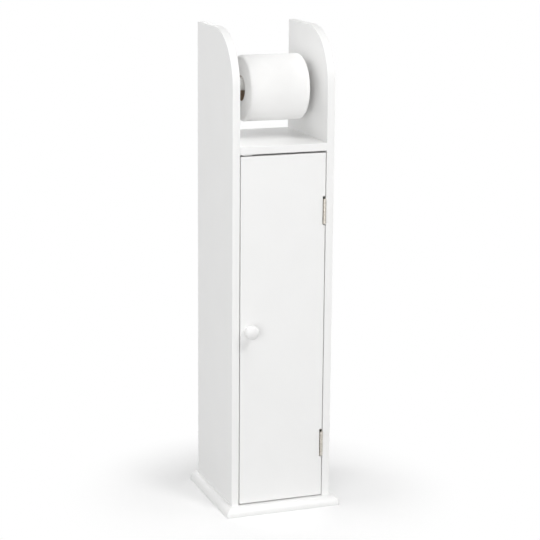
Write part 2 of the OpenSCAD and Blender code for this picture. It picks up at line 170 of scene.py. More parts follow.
def seen_directly(tree):
    """1 for rays of the camera, of gloss and of glass, and 0 for light that is scattered."""
    rays = tree.nodes.new("ShaderNodeLightPath").outputs
    return maths(tree, "MAXIMUM", rays["Is Camera Ray"], maths(
        tree, "MAXIMUM", rays["Is Glossy Ray"], rays["Is Transmission Ray"]))


strength = add(
    sky, "ShaderNodeMix", {0: seen_directly(sky), 2: AMBIENT, 3: 1.0}, data_type="FLOAT")
connect(sky, sky.nodes["Background"].inputs["Color"], grey(1))
connect(sky, sky.nodes["Background"].inputs["Strength"], strength)
scene.view_settings.view_transform = "Standard"
print("ambient light:", AMBIENT)

# %% Lamps
LAMP_DISTANCE = 4
middle = (cad_low + cad_high) / 2


def lamp(name, azimuth, height, side, power):
    """A square lamp that no view shows. Azimuth goes from the front, positive to the right."""
    turn = math.radians(azimuth)
    rise = math.radians(height)
    towards = Vector((
        math.sin(turn) * math.cos(rise), -math.cos(turn) * math.cos(rise), math.sin(rise)))
    data = bpy.data.lights.new(name, "AREA")
    data.shape = "SQUARE"
    data.size = side
    data.energy = power
    made = bpy.data.objects.new(name, data)
    scene.collection.objects.link(made)
    made.location = middle + towards * LAMP_DISTANCE
    made.rotation_euler = (-towards).to_track_quat("-Z", "Y").to_euler()
    made.visible_camera = False


lamp("key_lamp", 23, 44, 0.85, 38)
lamp("fill_lamp", -32, 12, 2.8, 85)
lamp("overhead_lamp", 10, 72, 2.4, 38)
lamp("left_lamp", -105, 34, 2.4, 48)
lamp("right_lamp", 75, 18, 2.4, 34)
lamp("back_lamp", 172, 6, 1.4, 38)

# %% [markdown]
# ## Floor
# The floor runs far past the picture. Close to the cabinet it is a pale matt surface, so that
# the shadow and the contact line show, and further out it fades into the white of the world.
# Light that bounces off it towards the cabinet meets an ordinary pale floor.

# %% Floor
FLOOR_HALF = 8.0
FLOOR_BOUNCE = 0.6
FLOOR_PALE = 0.85
FLOOR_LIFT = 0.15
FADE_FROM = 0.1
FADE_TO = 0.34


def floor_finish():
    mat = bpy.data.materials.new("studio_floor")
    mat.use_nodes = True
    tree = mat.node_tree
    place = add(tree, "ShaderNodeTexCoord", out=3)
    away = add(tree, "ShaderNodeVectorMath", {0: place}, out=1, operation="LENGTH")
    fade = add(tree, "ShaderNodeMapRange", {
        "Value": away, "From Min": FADE_FROM, "From Max": FADE_TO},
        interpolation_type="SMOOTHSTEP")
    pale = add(tree, "ShaderNodeBsdfDiffuse", {"Color": grey(FLOOR_PALE)})
    lift = add(tree, "ShaderNodeEmission", {"Strength": FLOOR_LIFT})
    near = add(tree, "ShaderNodeAddShader", {0: pale, 1: lift})
    far = add(tree, "ShaderNodeEmission", {"Strength": 1.0})
    shown = add(tree, "ShaderNodeMixShader", {0: fade, 1: near, 2: far})
    bounce = add(tree, "ShaderNodeBsdfDiffuse", {"Color": grey(FLOOR_BOUNCE)})
    both = add(tree, "ShaderNodeMixShader", {0: seen_directly(tree), 1: bounce, 2: shown})
    connect(tree, tree.nodes["Material Output"].inputs["Surface"], both)
    return mat


floor_mesh = bpy.data.meshes.new("floor")
floor_mesh.from_pydata(
    [(x * FLOOR_HALF, y * FLOOR_HALF, 0) for x, y in ((-1, -1), (1, -1), (1, 1), (-1, 1))],
    [], [(0, 1, 2, 3)])
floor_mesh.materials.append(floor_finish())
floor = bpy.data.objects.new("floor", floor_mesh)
scene.collection.objects.link(floor)
floor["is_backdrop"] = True
print("floor:", 2 * FLOOR_HALF, "m square")

# %% [markdown]
# ## Words for surface finishes
# Every finish is a Principled shader with patterns on it. Three words describe nearly all of
# them: soft blotches of noise of a certain real size, a spread that turns such a pattern into
# a range of numbers, and a relief that turns it into small bumps of a real depth. A pattern
# reads the piece's object coordinates, which are metres here. Turned, rolled and threaded
# pieces also carry `own_place`, each point's place before the piece was tilted into position,
# so that grain and turning marks follow the piece's own axis.

# %% Helpers for finishes
def finish(name):
    """A new material, its node tree and the inputs of its shader."""
    mat = bpy.data.materials.new(name)
    mat.use_nodes = True
    return mat, mat.node_tree, mat.node_tree.nodes["Principled BSDF"].inputs


def object_place(tree, stretch=(1, 1, 1)):
    place = add(tree, "ShaderNodeTexCoord", out=3)
    return add(tree, "ShaderNodeMapping", {"Vector": place, "Scale": stretch})


def own_place(tree, stretch=(1, 1, 1)):
    place = add(tree, "ShaderNodeAttribute", out=1, attribute_name="own_place")
    return add(tree, "ShaderNodeMapping", {"Vector": place, "Scale": stretch})


def blotches(tree, place, size, detail=2.0, roughness=0.5):
    """Noise with features of about this size, in metres."""
    return add(tree, "ShaderNodeTexNoise", {
        "Vector": place, "Scale": 1 / size, "Detail": detail, "Roughness": roughness})


def spread(tree, value, low, high, start=0.3, end=0.7):
    """Turns the start to end part of a pattern into the numbers low to high."""
    return add(tree, "ShaderNodeMapRange", {
        "Value": value, "From Min": start, "From Max": end, "To Min": low, "To Max": high})


def shade(colour, factor=1.0):
    return tuple(factor * c for c in colour) + (1,)


def tint(tree, amount, first, second):
    return add(tree, "ShaderNodeMixRGB", {"Fac": amount, "Color1": first, "Color2": second})


def relief(tree, height, depth):
    return add(tree, "ShaderNodeBump", {"Height": height, "Distance": depth})


print("helpers for finishes are ready")

# %% [markdown]
# ## White paint
# The boards are fibreboard, sprayed with two coats of satin lacquer. A sprayed coat is never
# quite flat: it dries with a faint orange peel of waves one or two millimetres wide. The cut
# edges drink more of the paint than the faces, so they stay a little rougher. The boards carry
# an attribute `cut_edge` that says where that is. The tone drifts by about one per cent.

# %% Painted boards and back panel
WHITE = (0.905, 0.905, 0.898)
FIBRE_SIZE = 0.35 * MM
SCREEN_PITCH = 1.3 * MM


def paint(name, colour, roughness, peel_depth):
    mat, tree, sockets = finish(name)
    place = object_place(tree)
    drift = spread(tree, blotches(tree, place, 70 * MM, 3), 0, 1)
    connect(tree, sockets["Base Color"], tint(tree, drift, shade(colour, 0.985), shade(colour)))
    peel = blotches(tree, place, 1.7 * MM, 2)
    cut_edge = add(tree, "ShaderNodeAttribute", out=2, attribute_name="cut_edge")
    fibres = maths(tree, "MULTIPLY", blotches(tree, place, FIBRE_SIZE, 4, 0.7), cut_edge)
    sheen = spread(tree, blotches(tree, place, 25 * MM, 3), roughness - 0.03, roughness + 0.03)
    connect(tree, sockets["Roughness"], maths(tree, "MULTIPLY_ADD", cut_edge, 0.1, sheen))
    waves = maths(tree, "MULTIPLY_ADD", fibres, 1.5, peel)
    connect(tree, sockets["Normal"], relief(tree, waves, peel_depth))
    return mat


def painted_hardboard():
    """Smooth in front. The back has the mesh print of the screen that it was pressed on."""
    mat = paint("painted_hardboard", WHITE, 0.45, 0.015 * MM)
    tree = mat.node_tree
    bump = next(n for n in tree.nodes if n.type == "BUMP")
    across, _, upwards = (
        add(tree, "ShaderNodeSeparateXYZ", {0: object_place(tree)}, out=i) for i in range(3))
    weave = maths(tree, "MULTIPLY", *(
        maths(tree, "SINE", maths(tree, "MULTIPLY", axis, 2 * math.pi / SCREEN_PITCH))
        for axis in (across, upwards)))
    facing = add(tree, "ShaderNodeTexCoord", out=1)
    backwards = add(tree, "ShaderNodeSeparateXYZ", {0: facing}, out=1)
    rear = add(tree, "ShaderNodeMapRange", {
        "Value": backwards, "From Min": 0.5, "From Max": 0.9})
    print_bump = add(tree, "ShaderNodeBump", {
        "Height": maths(tree, "MULTIPLY", weave, rear), "Distance": 0.05 * MM,
        "Normal": bump.outputs[0]})
    connect(tree, tree.nodes["Principled BSDF"].inputs["Normal"], print_bump)
    return mat


FINISHES = {
    "painted_board": paint("satin_white_paint", WHITE, 0.42, 0.02 * MM),
    "painted_hardboard": painted_hardboard(),
}
print("paints:", sorted(FINISHES))

# %% [markdown]
# ## Enamelled knob
# The knob is turned from beech and dipped in enamel that is a little glossier than the boards'
# lacquer. Its white is set a few per cent darker than the boards'. That is painted shade, which
# keeps the round knob from looking brighter than the door under the lamps. Turning leaves fine
# rings round its axis, which the enamel softens and doesn't hide.
# The rings come from a sine of the distance along the knob's own axis plus the distance from
# that axis.

# %% Knob finish
# A little darker than WHITE: painted shade for the knob, which the lamps light strongly.
ENAMEL_PAINTED_SHADE = (0.87, 0.868, 0.862)


def knob_enamel():
    mat, tree, sockets = finish("knob_enamel")
    place = own_place(tree)
    parts = [add(tree, "ShaderNodeSeparateXYZ", {0: place}, out=i) for i in range(3)]
    from_axis = add(tree, "ShaderNodeVectorMath", {0: add(
        tree, "ShaderNodeCombineXYZ", {0: parts[0], 1: parts[1]})}, out=1, operation="LENGTH")
    along = maths(tree, "ADD", parts[2], from_axis)
    rings = maths(tree, "SINE", maths(tree, "MULTIPLY", along, 2 * math.pi / (0.6 * MM)))
    peel = blotches(tree, place, 1.5 * MM, 2)
    height = maths(tree, "MULTIPLY_ADD", rings, 0.08, peel)
    drift = spread(tree, blotches(tree, place, 9 * MM, 2), 0, 1)
    connect(tree, sockets["Base Color"], tint(tree, drift, shade(ENAMEL_PAINTED_SHADE, 0.98), shade(ENAMEL_PAINTED_SHADE)))
    connect(tree, sockets["Roughness"], spread(tree, blotches(tree, place, 5 * MM), 0.3, 0.36))
    connect(tree, sockets["Normal"], relief(tree, height, 0.015 * MM))
    sockets["Coat Weight"].default_value = 0.1
    sockets["Coat Roughness"].default_value = 0.15
    return mat


FINISHES["painted_knob"] = knob_enamel()
print("knob: two coats, rings every 0.6 mm")

# %% [markdown]
# ## Metals
# Small hardware comes out of a tumbling plating bath. Its colour is mottled over a few
# millimetres, and rolled sheet or drawn wire keeps fine lines along the direction in which it
# was worked. A stretched noise gives those lines: the stretch squeezes the pattern across the
# lines and leaves it long along them. A cast piece has grains in place of lines.

# %% Plated and cast metals
def metal(name, colour, roughness, place_of, stretch, line_size, depth, other=None):
    mat, tree, sockets = finish(name)
    mottle = spread(tree, blotches(tree, place_of(tree), 3 * MM, 4, 0.6), 0, 1)
    dark = shade(other or colour, 0.86)
    connect(tree, sockets["Base Color"], tint(tree, mottle, dark, shade(colour)))
    lines = blotches(tree, place_of(tree, stretch), line_size, 3, 0.6)
    connect(tree, sockets["Roughness"], spread(tree, lines, roughness - 0.07, roughness + 0.07))
    connect(tree, sockets["Normal"], relief(tree, lines, depth))
    sockets["Metallic"].default_value = 1
    return mat


LINES_ALONG_Z = (1, 1, 0.05)
FINISHES["zinc_plate"] = metal(
    "bright_zinc", (0.72, 0.73, 0.75), 0.34, object_place, (1, 1, 1), 0.4 * MM, 0.008 * MM)
FINISHES["yellow_zinc"] = metal(
    "yellow_zinc", (0.74, 0.62, 0.33), 0.33, own_place, (1, 1, 1), 0.4 * MM, 0.008 * MM,
    other=(0.66, 0.5, 0.42))
FINISHES["zinc_casting"] = metal(
    "cast_zinc", (0.56, 0.56, 0.57), 0.52, object_place, (1, 1, 1), 0.3 * MM, 0.03 * MM)
FINISHES["nickel_plate"] = metal(
    "nickel_plate", (0.65, 0.625, 0.58), 0.34, object_place, LINES_ALONG_Z, 0.25 * MM, 0.01 * MM,
    other=(0.52, 0.475, 0.41))
FINISHES["spring_steel"] = metal(
    "drawn_spring_wire", (0.6, 0.6, 0.6), 0.3, own_place, (1, 1, 1), 0.2 * MM, 0.006 * MM)
print("metals:", [m for m in FINISHES if "paint" not in m])

# %% [markdown]
# ## Moulded plastic, magnet and beech
# Moulded plastic has the very fine grain of its mould, and drifts in gloss where it cooled
# unevenly. The sintered magnet is dark and speckled, with paler crumbs. Beech has short dark
# pores that lie along the grain, over broad pale bands, so both patterns are stretched along
# the dowel's own axis.

# %% Plastic, magnet and wood
def moulded(name, colour, roughness):
    mat, tree, sockets = finish(name)
    place = object_place(tree)
    drift = spread(tree, blotches(tree, place, 12 * MM, 2), 0, 1)
    connect(tree, sockets["Base Color"], tint(tree, drift, shade(colour, 0.975), shade(colour)))
    gloss = spread(tree, blotches(tree, place, 8 * MM, 3), roughness - 0.04, roughness + 0.04)
    connect(tree, sockets["Roughness"], gloss)
    grain = blotches(tree, place, 0.3 * MM, 3)
    connect(tree, sockets["Normal"], relief(tree, grain, 0.006 * MM))
    return mat


def sintered():
    mat, tree, sockets = finish("sintered_magnet")
    place = object_place(tree)
    crumbs = blotches(tree, place, 0.35 * MM, 4, 0.7)
    pale = spread(tree, crumbs, 0, 1, 0.55, 0.75)
    connect(tree, sockets["Base Color"], tint(
        tree, pale, shade((0.045, 0.044, 0.046)), shade((0.16, 0.155, 0.15))))
    connect(tree, sockets["Roughness"], spread(tree, crumbs, 0.75, 0.5))
    connect(tree, sockets["Normal"], relief(tree, crumbs, 0.05 * MM))
    return mat


def beech():
    mat, tree, sockets = finish("beech")
    bands = spread(tree, blotches(tree, own_place(tree, (1, 1, 0.08)), 1.2 * MM, 3), 0, 1)
    pores = blotches(tree, own_place(tree, (1, 1, 0.12)), 0.18 * MM, 2)
    dark = spread(tree, pores, 0, 0.75, 0.58, 0.72)
    wood = tint(tree, bands, shade((0.58, 0.38, 0.22)), shade((0.68, 0.47, 0.29)))
    connect(tree, sockets["Base Color"], tint(tree, dark, wood, shade((0.33, 0.19, 0.1))))
    sockets["Roughness"].default_value = 0.62
    connect(tree, sockets["Normal"], relief(tree, pores, 0.03 * MM))
    return mat


FINISHES["catch_plastic"] = moulded("catch_plastic", (0.80, 0.80, 0.79), 0.4)
FINISHES["roller_plastic"] = moulded("roller_plastic", (0.92, 0.92, 0.9), 0.3)
FINISHES["magnet"] = sintered()
FINISHES["beech"] = beech()
print("finishes so far:", len(FINISHES))

# %% [markdown]
# ## Tissue and cardboard
# Tissue is matt and soft, with the small dots that hold its plies together. The dots lie on
# the sheet, so they read a UV map that unrolls the outside: one direction runs along the
# roll and the other round it. A wound end shows the edges of hundreds of layers as fine
# rings. Its colour is paler than the dotted sheet's. That paleness is painted light, which lifts
# the ends where they sit in the shade of the bay. The core is grey-brown board with pale and
# dark fibres. It is wound from a strip, so its seam climbs round the tube.

# %% Tissue paper
TISSUE = (0.905, 0.902, 0.896)
# The ends' paler colour is painted light: it stands in for light that the bay keeps from them.
WOUND_PAINTED_LIGHTER = (0.97, 0.966, 0.955)
DOT_PITCH = 2.4 * MM


def tissue():
    mat, tree, sockets = finish("tissue_paper")
    wrap = add(tree, "ShaderNodeUVMap", uv_map="wrap")
    across, around = (
        add(tree, "ShaderNodeSeparateXYZ", {0: wrap}, out=i) for i in range(2))
    waves = [
        maths(tree, "COSINE", maths(tree, "MULTIPLY", maths(
            tree, sign, across, around), 2 * math.pi / (DOT_PITCH * math.sqrt(2))))
        for sign in ("ADD", "SUBTRACT")]
    dots = spread(tree, maths(tree, "MINIMUM", *waves), 0, -1, 0.5, 1.0)
    crepe = blotches(tree, add(
        tree, "ShaderNodeMapping", {"Vector": wrap, "Scale": (0.5, 1, 1)}), 0.5 * MM, 4, 0.65)
    height = maths(tree, "MULTIPLY_ADD", crepe, 0.8, dots)
    drift = spread(tree, blotches(tree, object_place(tree), 18 * MM, 3), 0, 1)
    base = tint(tree, drift, shade(TISSUE, 0.985), shade(TISSUE))
    low = maths(tree, "MULTIPLY", dots, -0.25)
    connect(tree, sockets["Base Color"], tint(tree, low, base, shade(TISSUE, 0.93)))
    sockets["Roughness"].default_value = 0.95
    sockets["Diffuse Roughness"].default_value = 0.6
    sockets["Specular IOR Level"].default_value = 0.2
    sockets["Sheen Weight"].default_value = 0.12
    connect(tree, sockets["Normal"], relief(tree, height, 0.05 * MM))
    return mat


# The rings on the ends are tinted from the paler end colour, which is painted light.
def wound_ends_painted_lighter():
    mat, tree, sockets = finish("wound_tissue_end_painted_lighter")
    place = own_place(tree)
    parts = [add(tree, "ShaderNodeSeparateXYZ", {0: place}, out=i) for i in range(2)]
    from_axis = add(tree, "ShaderNodeVectorMath", {0: add(
        tree, "ShaderNodeCombineXYZ", {0: parts[0], 1: parts[1]})}, out=1, operation="LENGTH")
    wobble = blotches(tree, place, 6 * MM, 2)
    depth = maths(tree, "MULTIPLY_ADD", wobble, 0.6 * MM, from_axis)
    layers = add(tree, "ShaderNodeTexNoise", {
        "W": maths(tree, "MULTIPLY", depth, 1 / (0.45 * MM)), "Scale": 1.0, "Detail": 3.0},
        noise_dimensions="1D")
    fluff = blotches(tree, place, 0.4 * MM, 4, 0.7)
    tone = spread(tree, layers, 0, 1)
    connect(tree, sockets["Base Color"], tint(tree, tone, shade(WOUND_PAINTED_LIGHTER, 0.96), shade(WOUND_PAINTED_LIGHTER)))
    sockets["Roughness"].default_value = 1.0
    sockets["Diffuse Roughness"].default_value = 0.8
    sockets["Specular IOR Level"].default_value = 0.1
    height = maths(tree, "MULTIPLY_ADD", fluff, 0.7, layers)
    connect(tree, sockets["Normal"], relief(tree, height, 0.12 * MM))
    return mat


FINISHES["tissue_paper"] = tissue()
WOUND_ENDS_PAINTED_LIGHTER = wound_ends_painted_lighter()
print("tissue: dots every", DOT_PITCH / MM, "mm")

# %% Cardboard
SEAM_CLIMB = 62 * MM


def cardboard():
    mat, tree, sockets = finish("core_cardboard")
    place = own_place(tree)
    x, y, z = (add(tree, "ShaderNodeSeparateXYZ", {0: place}, out=i) for i in range(3))
    turn = maths(tree, "DIVIDE", maths(tree, "ARCTAN2", y, x), 2 * math.pi)
    climb = maths(tree, "MULTIPLY_ADD", z, 1 / SEAM_CLIMB, turn)
    from_seam = maths(tree, "ABSOLUTE", maths(
        tree, "SUBTRACT", maths(tree, "FRACT", climb), 0.5))
    seam = spread(tree, from_seam, 1, 0, 0.0, 0.006)
    fibres = blotches(tree, own_place(tree, (1, 1, 0.4)), 0.5 * MM, 4, 0.7)
    cloud = spread(tree, blotches(tree, place, 5 * MM, 3), 0, 1)
    board = tint(tree, cloud, shade((0.33, 0.24, 0.17)), shade((0.40, 0.30, 0.22)))
    specks = spread(tree, fibres, 0, 0.8, 0.56, 0.7)
    flecked = tint(tree, specks, board, shade((0.52, 0.43, 0.34)))
    connect(tree, sockets["Base Color"], tint(tree, seam, flecked, shade((0.20, 0.14, 0.10))))
    sockets["Roughness"].default_value = 0.9
    height = maths(tree, "SUBTRACT", fibres, seam)
    connect(tree, sockets["Normal"], relief(tree, height, 0.06 * MM))
    return mat


FINISHES["core_cardboard"] = cardboard()
slots = {m["slot"] for m in frame["record"]["materials"]}
print("slots without a finish:", sorted(slots - set(FINISHES)))

# %% [markdown]
# ## Ready for the workshop
# A finished piece takes over from its plain node: it rides on the same body and takes the same
# material slot, and the record says which these are. Modifiers are used like tools at a bench.
# A mesh goes in, the evaluated result comes out as a plain mesh, and the helper object that
# carried the modifier is thrown away.

# %% Helpers: modifiers as tools, and handing a piece over
record = frame["record"]
BODY_OF = {n: body for body, nodes in record["behaviour"]["bodies"].items() for n in nodes}
SLOT_OF = {part["node"]: part["material_slot"] for part in record["subparts"]}


def helper_object(mesh):
    made = bpy.data.objects.new("helper", mesh)
    scene.collection.objects.link(made)
    return made


def evaluated(helper):
    """The helper's mesh with its modifiers applied. The helper is thrown away."""
    bpy.context.view_layer.update()
    depsgraph = bpy.context.evaluated_depsgraph_get()
    made = bpy.data.meshes.new_from_object(
        helper.evaluated_get(depsgraph), preserve_all_data_layers=True, depsgraph=depsgraph)
    bpy.data.objects.remove(helper)
    return made


def worked(mesh, *tools):
    """The mesh after some modifiers, each given as its kind and its settings."""
    helper = helper_object(mesh)
    for kind, settings in tools:
        modifier = helper.modifiers.new(kind, kind)
        for name, value in settings.items():
            setattr(modifier, name, value)
    return evaluated(helper)


def combined(mesh, others, operation):
    """The mesh with other closed meshes cut away from it, or joined on to it."""
    for other in others:
        tool = helper_object(other)
        mesh = worked(mesh, ("BOOLEAN", {
            "object": tool, "operation": operation, "solver": "EXACT"}))
        bpy.data.objects.remove(tool)
    return mesh


def flattened(mesh, sharp):
    """Smooth shading that keeps the flat faces of a drilled mesh flat."""
    mesh.shade_smooth()
    mesh.set_sharp_from_angle(angle=math.radians(sharp))
    return worked(mesh, ("WEIGHTED_NORMAL", {"keep_sharp": True}))


def hand_over(node, mesh, finishes=None):
    """Puts a finished mesh in the place of a plain node."""
    mesh.materials.clear()
    for mat in finishes or [FINISHES[SLOT_OF[node]]]:
        mesh.materials.append(mat)
    piece = bpy.data.objects.new("finished_" + node, mesh)
    scene.collection.objects.link(piece)
    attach(piece, BODY_OF[node])
    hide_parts(node)
    print(piece.name, "with", len(mesh.polygons), "faces")
    return piece


print("bodies:", sorted(set(BODY_OF.values())))

# %% [markdown]
# ## Boards
# Each board is cut square, its holes are drilled, and then a sander breaks its edges. A real
# edge is never sharp: the small round catches the light and makes the board look solid. So a
# copy of the plain board gets a Bevel modifier that rounds by weight. Edges that show get the
# full radius, and edges that butt against another board get a much smaller one, which leaves
# the fine joint line. The rims of holes stay as drilled. Weighted normals keep the faces flat.

# %% Helpers: a board from its node
EDGE_ROUND = 0.9 * MM
SEAM_ROUND = 0.25 * MM
SHORT_EDGE = 3.5 * MM
SAME_PLACE = 0.01 * MM


def merged(node):
    """The node's mesh with its triangles joined into whole faces again."""
    bm = bmesh.new()
    bm.from_mesh(frame["nodes"][node].data)
    bmesh.ops.remove_doubles(bm, verts=bm.verts, dist=0.001 * MM)
    bmesh.ops.dissolve_limit(bm, angle_limit=0.01, verts=bm.verts, edges=bm.edges)
    return bm


def weigh_edges(bm, full, seams, in_outline):
    """Sets how far each edge is rounded, as a share of the full radius."""
    weight = bm.edges.layers.float.new("bevel_weight_edge")
    for edge in bm.edges:
        turn = edge.calc_face_angle_signed(0)
        ends = [v.co for v in edge.verts]
        at_seam = any(
            all(abs(end[axis] - level) < SAME_PLACE for end in ends) for axis, level in seams)
        outline = edge.calc_length() > SHORT_EDGE or in_outline((ends[0] + ends[1]) / 2)
        if turn > math.radians(40) and outline:
            edge[weight] = SEAM_ROUND / full if at_seam else 1.0
        elif abs(turn) > math.radians(30):
            edge.smooth = False


def mark_cut_edges(mesh, thin_axis):
    """Flags the faces that aren't the two broad faces of the board."""
    flag = mesh.attributes.new("cut_edge", "FLOAT", "FACE")
    flag.data.foreach_set("value", [
        float(abs(face.normal[thin_axis]) < 0.5) for face in mesh.polygons])


def board(node, thin_axis, full=EDGE_ROUND, seams=(), in_outline=lambda place: False):
    bm = merged(node)
    weigh_edges(bm, full, seams, in_outline)
    for face in bm.faces:
        face.smooth = True
    mesh = bpy.data.meshes.new(node)
    bm.to_mesh(mesh)
    bm.free()
    mesh = worked(
        mesh,
        ("BEVEL", {"limit_method": "WEIGHT", "width": full, "segments": 3,
                   "use_clamp_overlap": False}),
        ("WEIGHTED_NORMAL", {"keep_sharp": True}))
    mark_cut_edges(mesh, thin_axis)
    return mesh


X, Y, Z = 0, 1, 2
print("edges that show are rounded by", EDGE_ROUND / MM, "mm")

# %% Side panels, shelf, door and back panel
floor_seam = (Z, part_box("left_side_panel")[0].z)
shelf_low, shelf_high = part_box("shelf")
door_low, door_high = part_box("door_panel")

for side in ("left_side_panel", "right_side_panel"):
    hand_over(side, board(side, X, seams=[floor_seam]))
hand_over("shelf", board("shelf", Z, seams=[
    (X, shelf_low.x), (X, shelf_high.x), (Y, shelf_high.y)]))


def in_notch(place):
    """The rims of the notches for the hinges, on the front and back of the door."""
    on_face = min(abs(place.y - door_low.y), abs(place.y - door_high.y)) < SAME_PLACE
    return on_face and place.x > door_high.x - 6 * MM


hand_over("door_panel", board("door_panel", Y, full=0.7 * MM, in_outline=in_notch))
hand_over("back_panel", board("back_panel", Y, full=SEAM_ROUND))

# %% [markdown]
# ## Base board with its moulding
# A router runs round the front and the two sides of the base board and leaves a quarter round
# on a small lip. The corners of the board were rounded in plan first, so the moulding turns
# each front corner on a small radius that shrinks as the cutter goes in. The plain node has
# sharp mitres there. So the board is lofted: the same outline is drawn again and again, each
# time a little higher and further in, and the outlines are skinned together.

# %% Outlines of the base board, skinned together
LIP = 1.5 * MM
CORNER_ROUND = 4 * MM
CORNER_STEPS = 8
ROUND_STEPS = 12
UNDER_ROUND = 0.6 * MM

base_low, base_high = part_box("base_board")
moulding = base_high.z - LIP


def base_outline(inset, height):
    """Corner by corner from the back left. The back edge is cut square, so it isn't inset."""
    left, front = base_low.x + inset, base_low.y + inset
    radius = max(CORNER_ROUND - inset, 0.3 * MM)
    points = [(left, base_high.y)]
    for side, start in ((-1, math.pi), (1, 1.5 * math.pi)):
        for i in range(CORNER_STEPS + 1):
            angle = start + i / CORNER_STEPS * math.pi / 2
            points.append((
                side * (-left - radius) + radius * math.cos(angle),
                front + radius + radius * math.sin(angle)))
    points.append((-left, base_high.y))
    return [(x, y, height) for x, y in points]


def skin(rings):
    """A closed shell through rings of points, with a flat face at each end."""
    bm = bmesh.new()
    made = [[bm.verts.new(point) for point in ring] for ring in rings]
    for below, above in zip(made, made[1:]):
        for i in range(len(below)):
            j = (i + 1) % len(below)
            bm.faces.new((below[i], below[j], above[j], above[i]))
    bm.faces.new(made[0])
    bm.faces.new(made[-1])
    bmesh.ops.recalc_face_normals(bm, faces=bm.faces)
    return bm


levels = [(UNDER_ROUND, 0), (UNDER_ROUND * 0.3, UNDER_ROUND * 0.3), (0, UNDER_ROUND)]
for i in range(ROUND_STEPS + 1):
    angle = i / ROUND_STEPS * math.pi / 2
    levels.append((moulding * (1 - math.cos(angle)), LIP + moulding * math.sin(angle)))
base_shell = skin([base_outline(inset, height) for inset, height in levels])
base_mesh = bpy.data.meshes.new("base_board")
base_shell.to_mesh(base_mesh)
base_shell.free()
print("base board:", len(levels), "outlines of", len(base_outline(0, 0)), "points")

# %% [markdown]
# ## Turned shapes
# A lathe makes everything that is round: the knob, the halves of the roller, the screws and
# even the paper roll. Here a lathe is a function that turns a half section about the Z axis.
# The section is a list of points, each a radius and a height, and `arc` writes the round
# stretches. A point on the axis closes the shape to a pole, and a section that joins its own
# start makes a ring. The piece keeps its own place, and is then aimed where it belongs.

# %% Helpers: lathe, arc and aim
def as_mesh(bm, name, sharp=35):
    mesh = bpy.data.meshes.new(name)
    bm.to_mesh(mesh)
    bm.free()
    mesh.shade_smooth()
    mesh.set_sharp_from_angle(angle=math.radians(sharp))
    own = mesh.attributes.new("own_place", "FLOAT_VECTOR", "POINT")
    own.data.foreach_set("vector", [x for v in mesh.vertices for x in v.co])
    return mesh


def lathe(section, steps=64, ring=False):
    bm = bmesh.new()
    circles = []
    for radius, height in section:
        angles = [2 * math.pi * i / steps for i in range(steps)] if radius > 0 else [0]
        circles.append([bm.verts.new((
            radius * math.cos(a), radius * math.sin(a), height)) for a in angles])
    for one, two in zip(circles, circles[1:] + (circles[:1] if ring else [])):
        for i in range(steps):
            j = (i + 1) % steps
            corners = (
                one[i % len(one)], one[j % len(one)], two[j % len(two)], two[i % len(two)])
            bm.faces.new(dict.fromkeys(corners))
    bmesh.ops.recalc_face_normals(bm, faces=bm.faces)
    return bm


def arc(centre, radius, start, end, steps=6):
    """Points of an arc in a section, with its angles in degrees."""
    angles = [math.radians(start + (end - start) * i / steps) for i in range(steps + 1)]
    return [(
        centre[0] + radius * math.cos(a), centre[1] + radius * math.sin(a)) for a in angles]


def aimed(mesh, at, facing, side=(0, 0, 1)):
    """Turns a mesh so that its +Z looks along facing and its +X along side, and moves it."""
    z = Vector(facing).normalized()
    y = z.cross(Vector(side)).normalized()
    turn = Matrix((y.cross(z), y, z)).transposed().to_4x4()
    mesh.transform(Matrix.Translation(at) @ turn)
    return mesh


print("lathe is ready")

# %% [markdown]
# ## Knob
# The knob has a low crown, a full round rim, and a hollow neck that spreads again to a foot
# where it meets the door. Crown and rim meet smoothly, because the crown's radius is worked
# out so that the rim's circle just touches it from inside.

# %% Knob section and knob
KNOB_NECK = 6 * MM
KNOB_FILLET = 2 * MM
KNOB_FOOT = 1.5 * MM
KNOB_RIM = 6.5 * MM
KNOB_CROWN = 1.5 * MM
KNOB_BORE = (2 * MM, 11.1 * MM)


def knob_section(radius, length):
    rim_at = (radius - KNOB_RIM, length - KNOB_RIM - KNOB_CROWN)
    rise = KNOB_RIM + KNOB_CROWN
    crown = (rim_at[0] ** 2 + rise ** 2 - KNOB_RIM ** 2) / (2 * (rise - KNOB_RIM))
    crown_end = math.degrees(math.atan2(rim_at[1] - (length - crown), rim_at[0]))
    neck_at = KNOB_NECK + KNOB_FILLET
    reach = KNOB_RIM + KNOB_FILLET
    drop = math.sqrt(reach ** 2 - (neck_at - rim_at[0]) ** 2)
    upper_at = (neck_at, rim_at[1] - drop)
    rim_end = math.degrees(math.atan2(-drop, neck_at - rim_at[0]))
    bore, depth = KNOB_BORE
    return [
        (0, depth), (bore, depth), (bore, 0), (neck_at - 0.4 * MM, 0),
        *arc((neck_at - 0.4 * MM, 0.4 * MM), 0.4 * MM, -90, 0, 4)[1:],
        (neck_at, KNOB_FOOT),
        *arc((neck_at, KNOB_FOOT + KNOB_FILLET), KNOB_FILLET, 270, 180, 8)[1:],
        *arc(upper_at, KNOB_FILLET, 180, 180 + rim_end, 8),
        *arc(rim_at, KNOB_RIM, rim_end, crown_end, 20)[1:],
        *arc((0, length - crown), crown, crown_end, 90, 12)[1:-1],
        (0, length)]


knob_low, knob_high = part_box("door_knob")
knob_middle = (knob_low + knob_high) / 2
knob = as_mesh(lathe(knob_section(
    (knob_high.x - knob_low.x) / 2, knob_high.y - knob_low.y), 96), "knob", 50)
FRONT = Vector((0, -1, 0))
hand_over("door_knob", aimed(knob, (knob_middle.x, knob_high.y, knob_middle.z), FRONT))

# %% [markdown]
# ## Screws, bolts, pins and dowels: the patterns
# Fasteners of one kind are all alike, so each kind is made once, as a pattern, and set out as
# often as the cabinet needs it. A pattern has the face of its head at the origin and its tip
# towards -Z. Its body comes off the lathe. Its thread is a ridge that climbs the core, swept
# along a helix. One small Geometry Nodes tree makes every helix here, and later the spring.

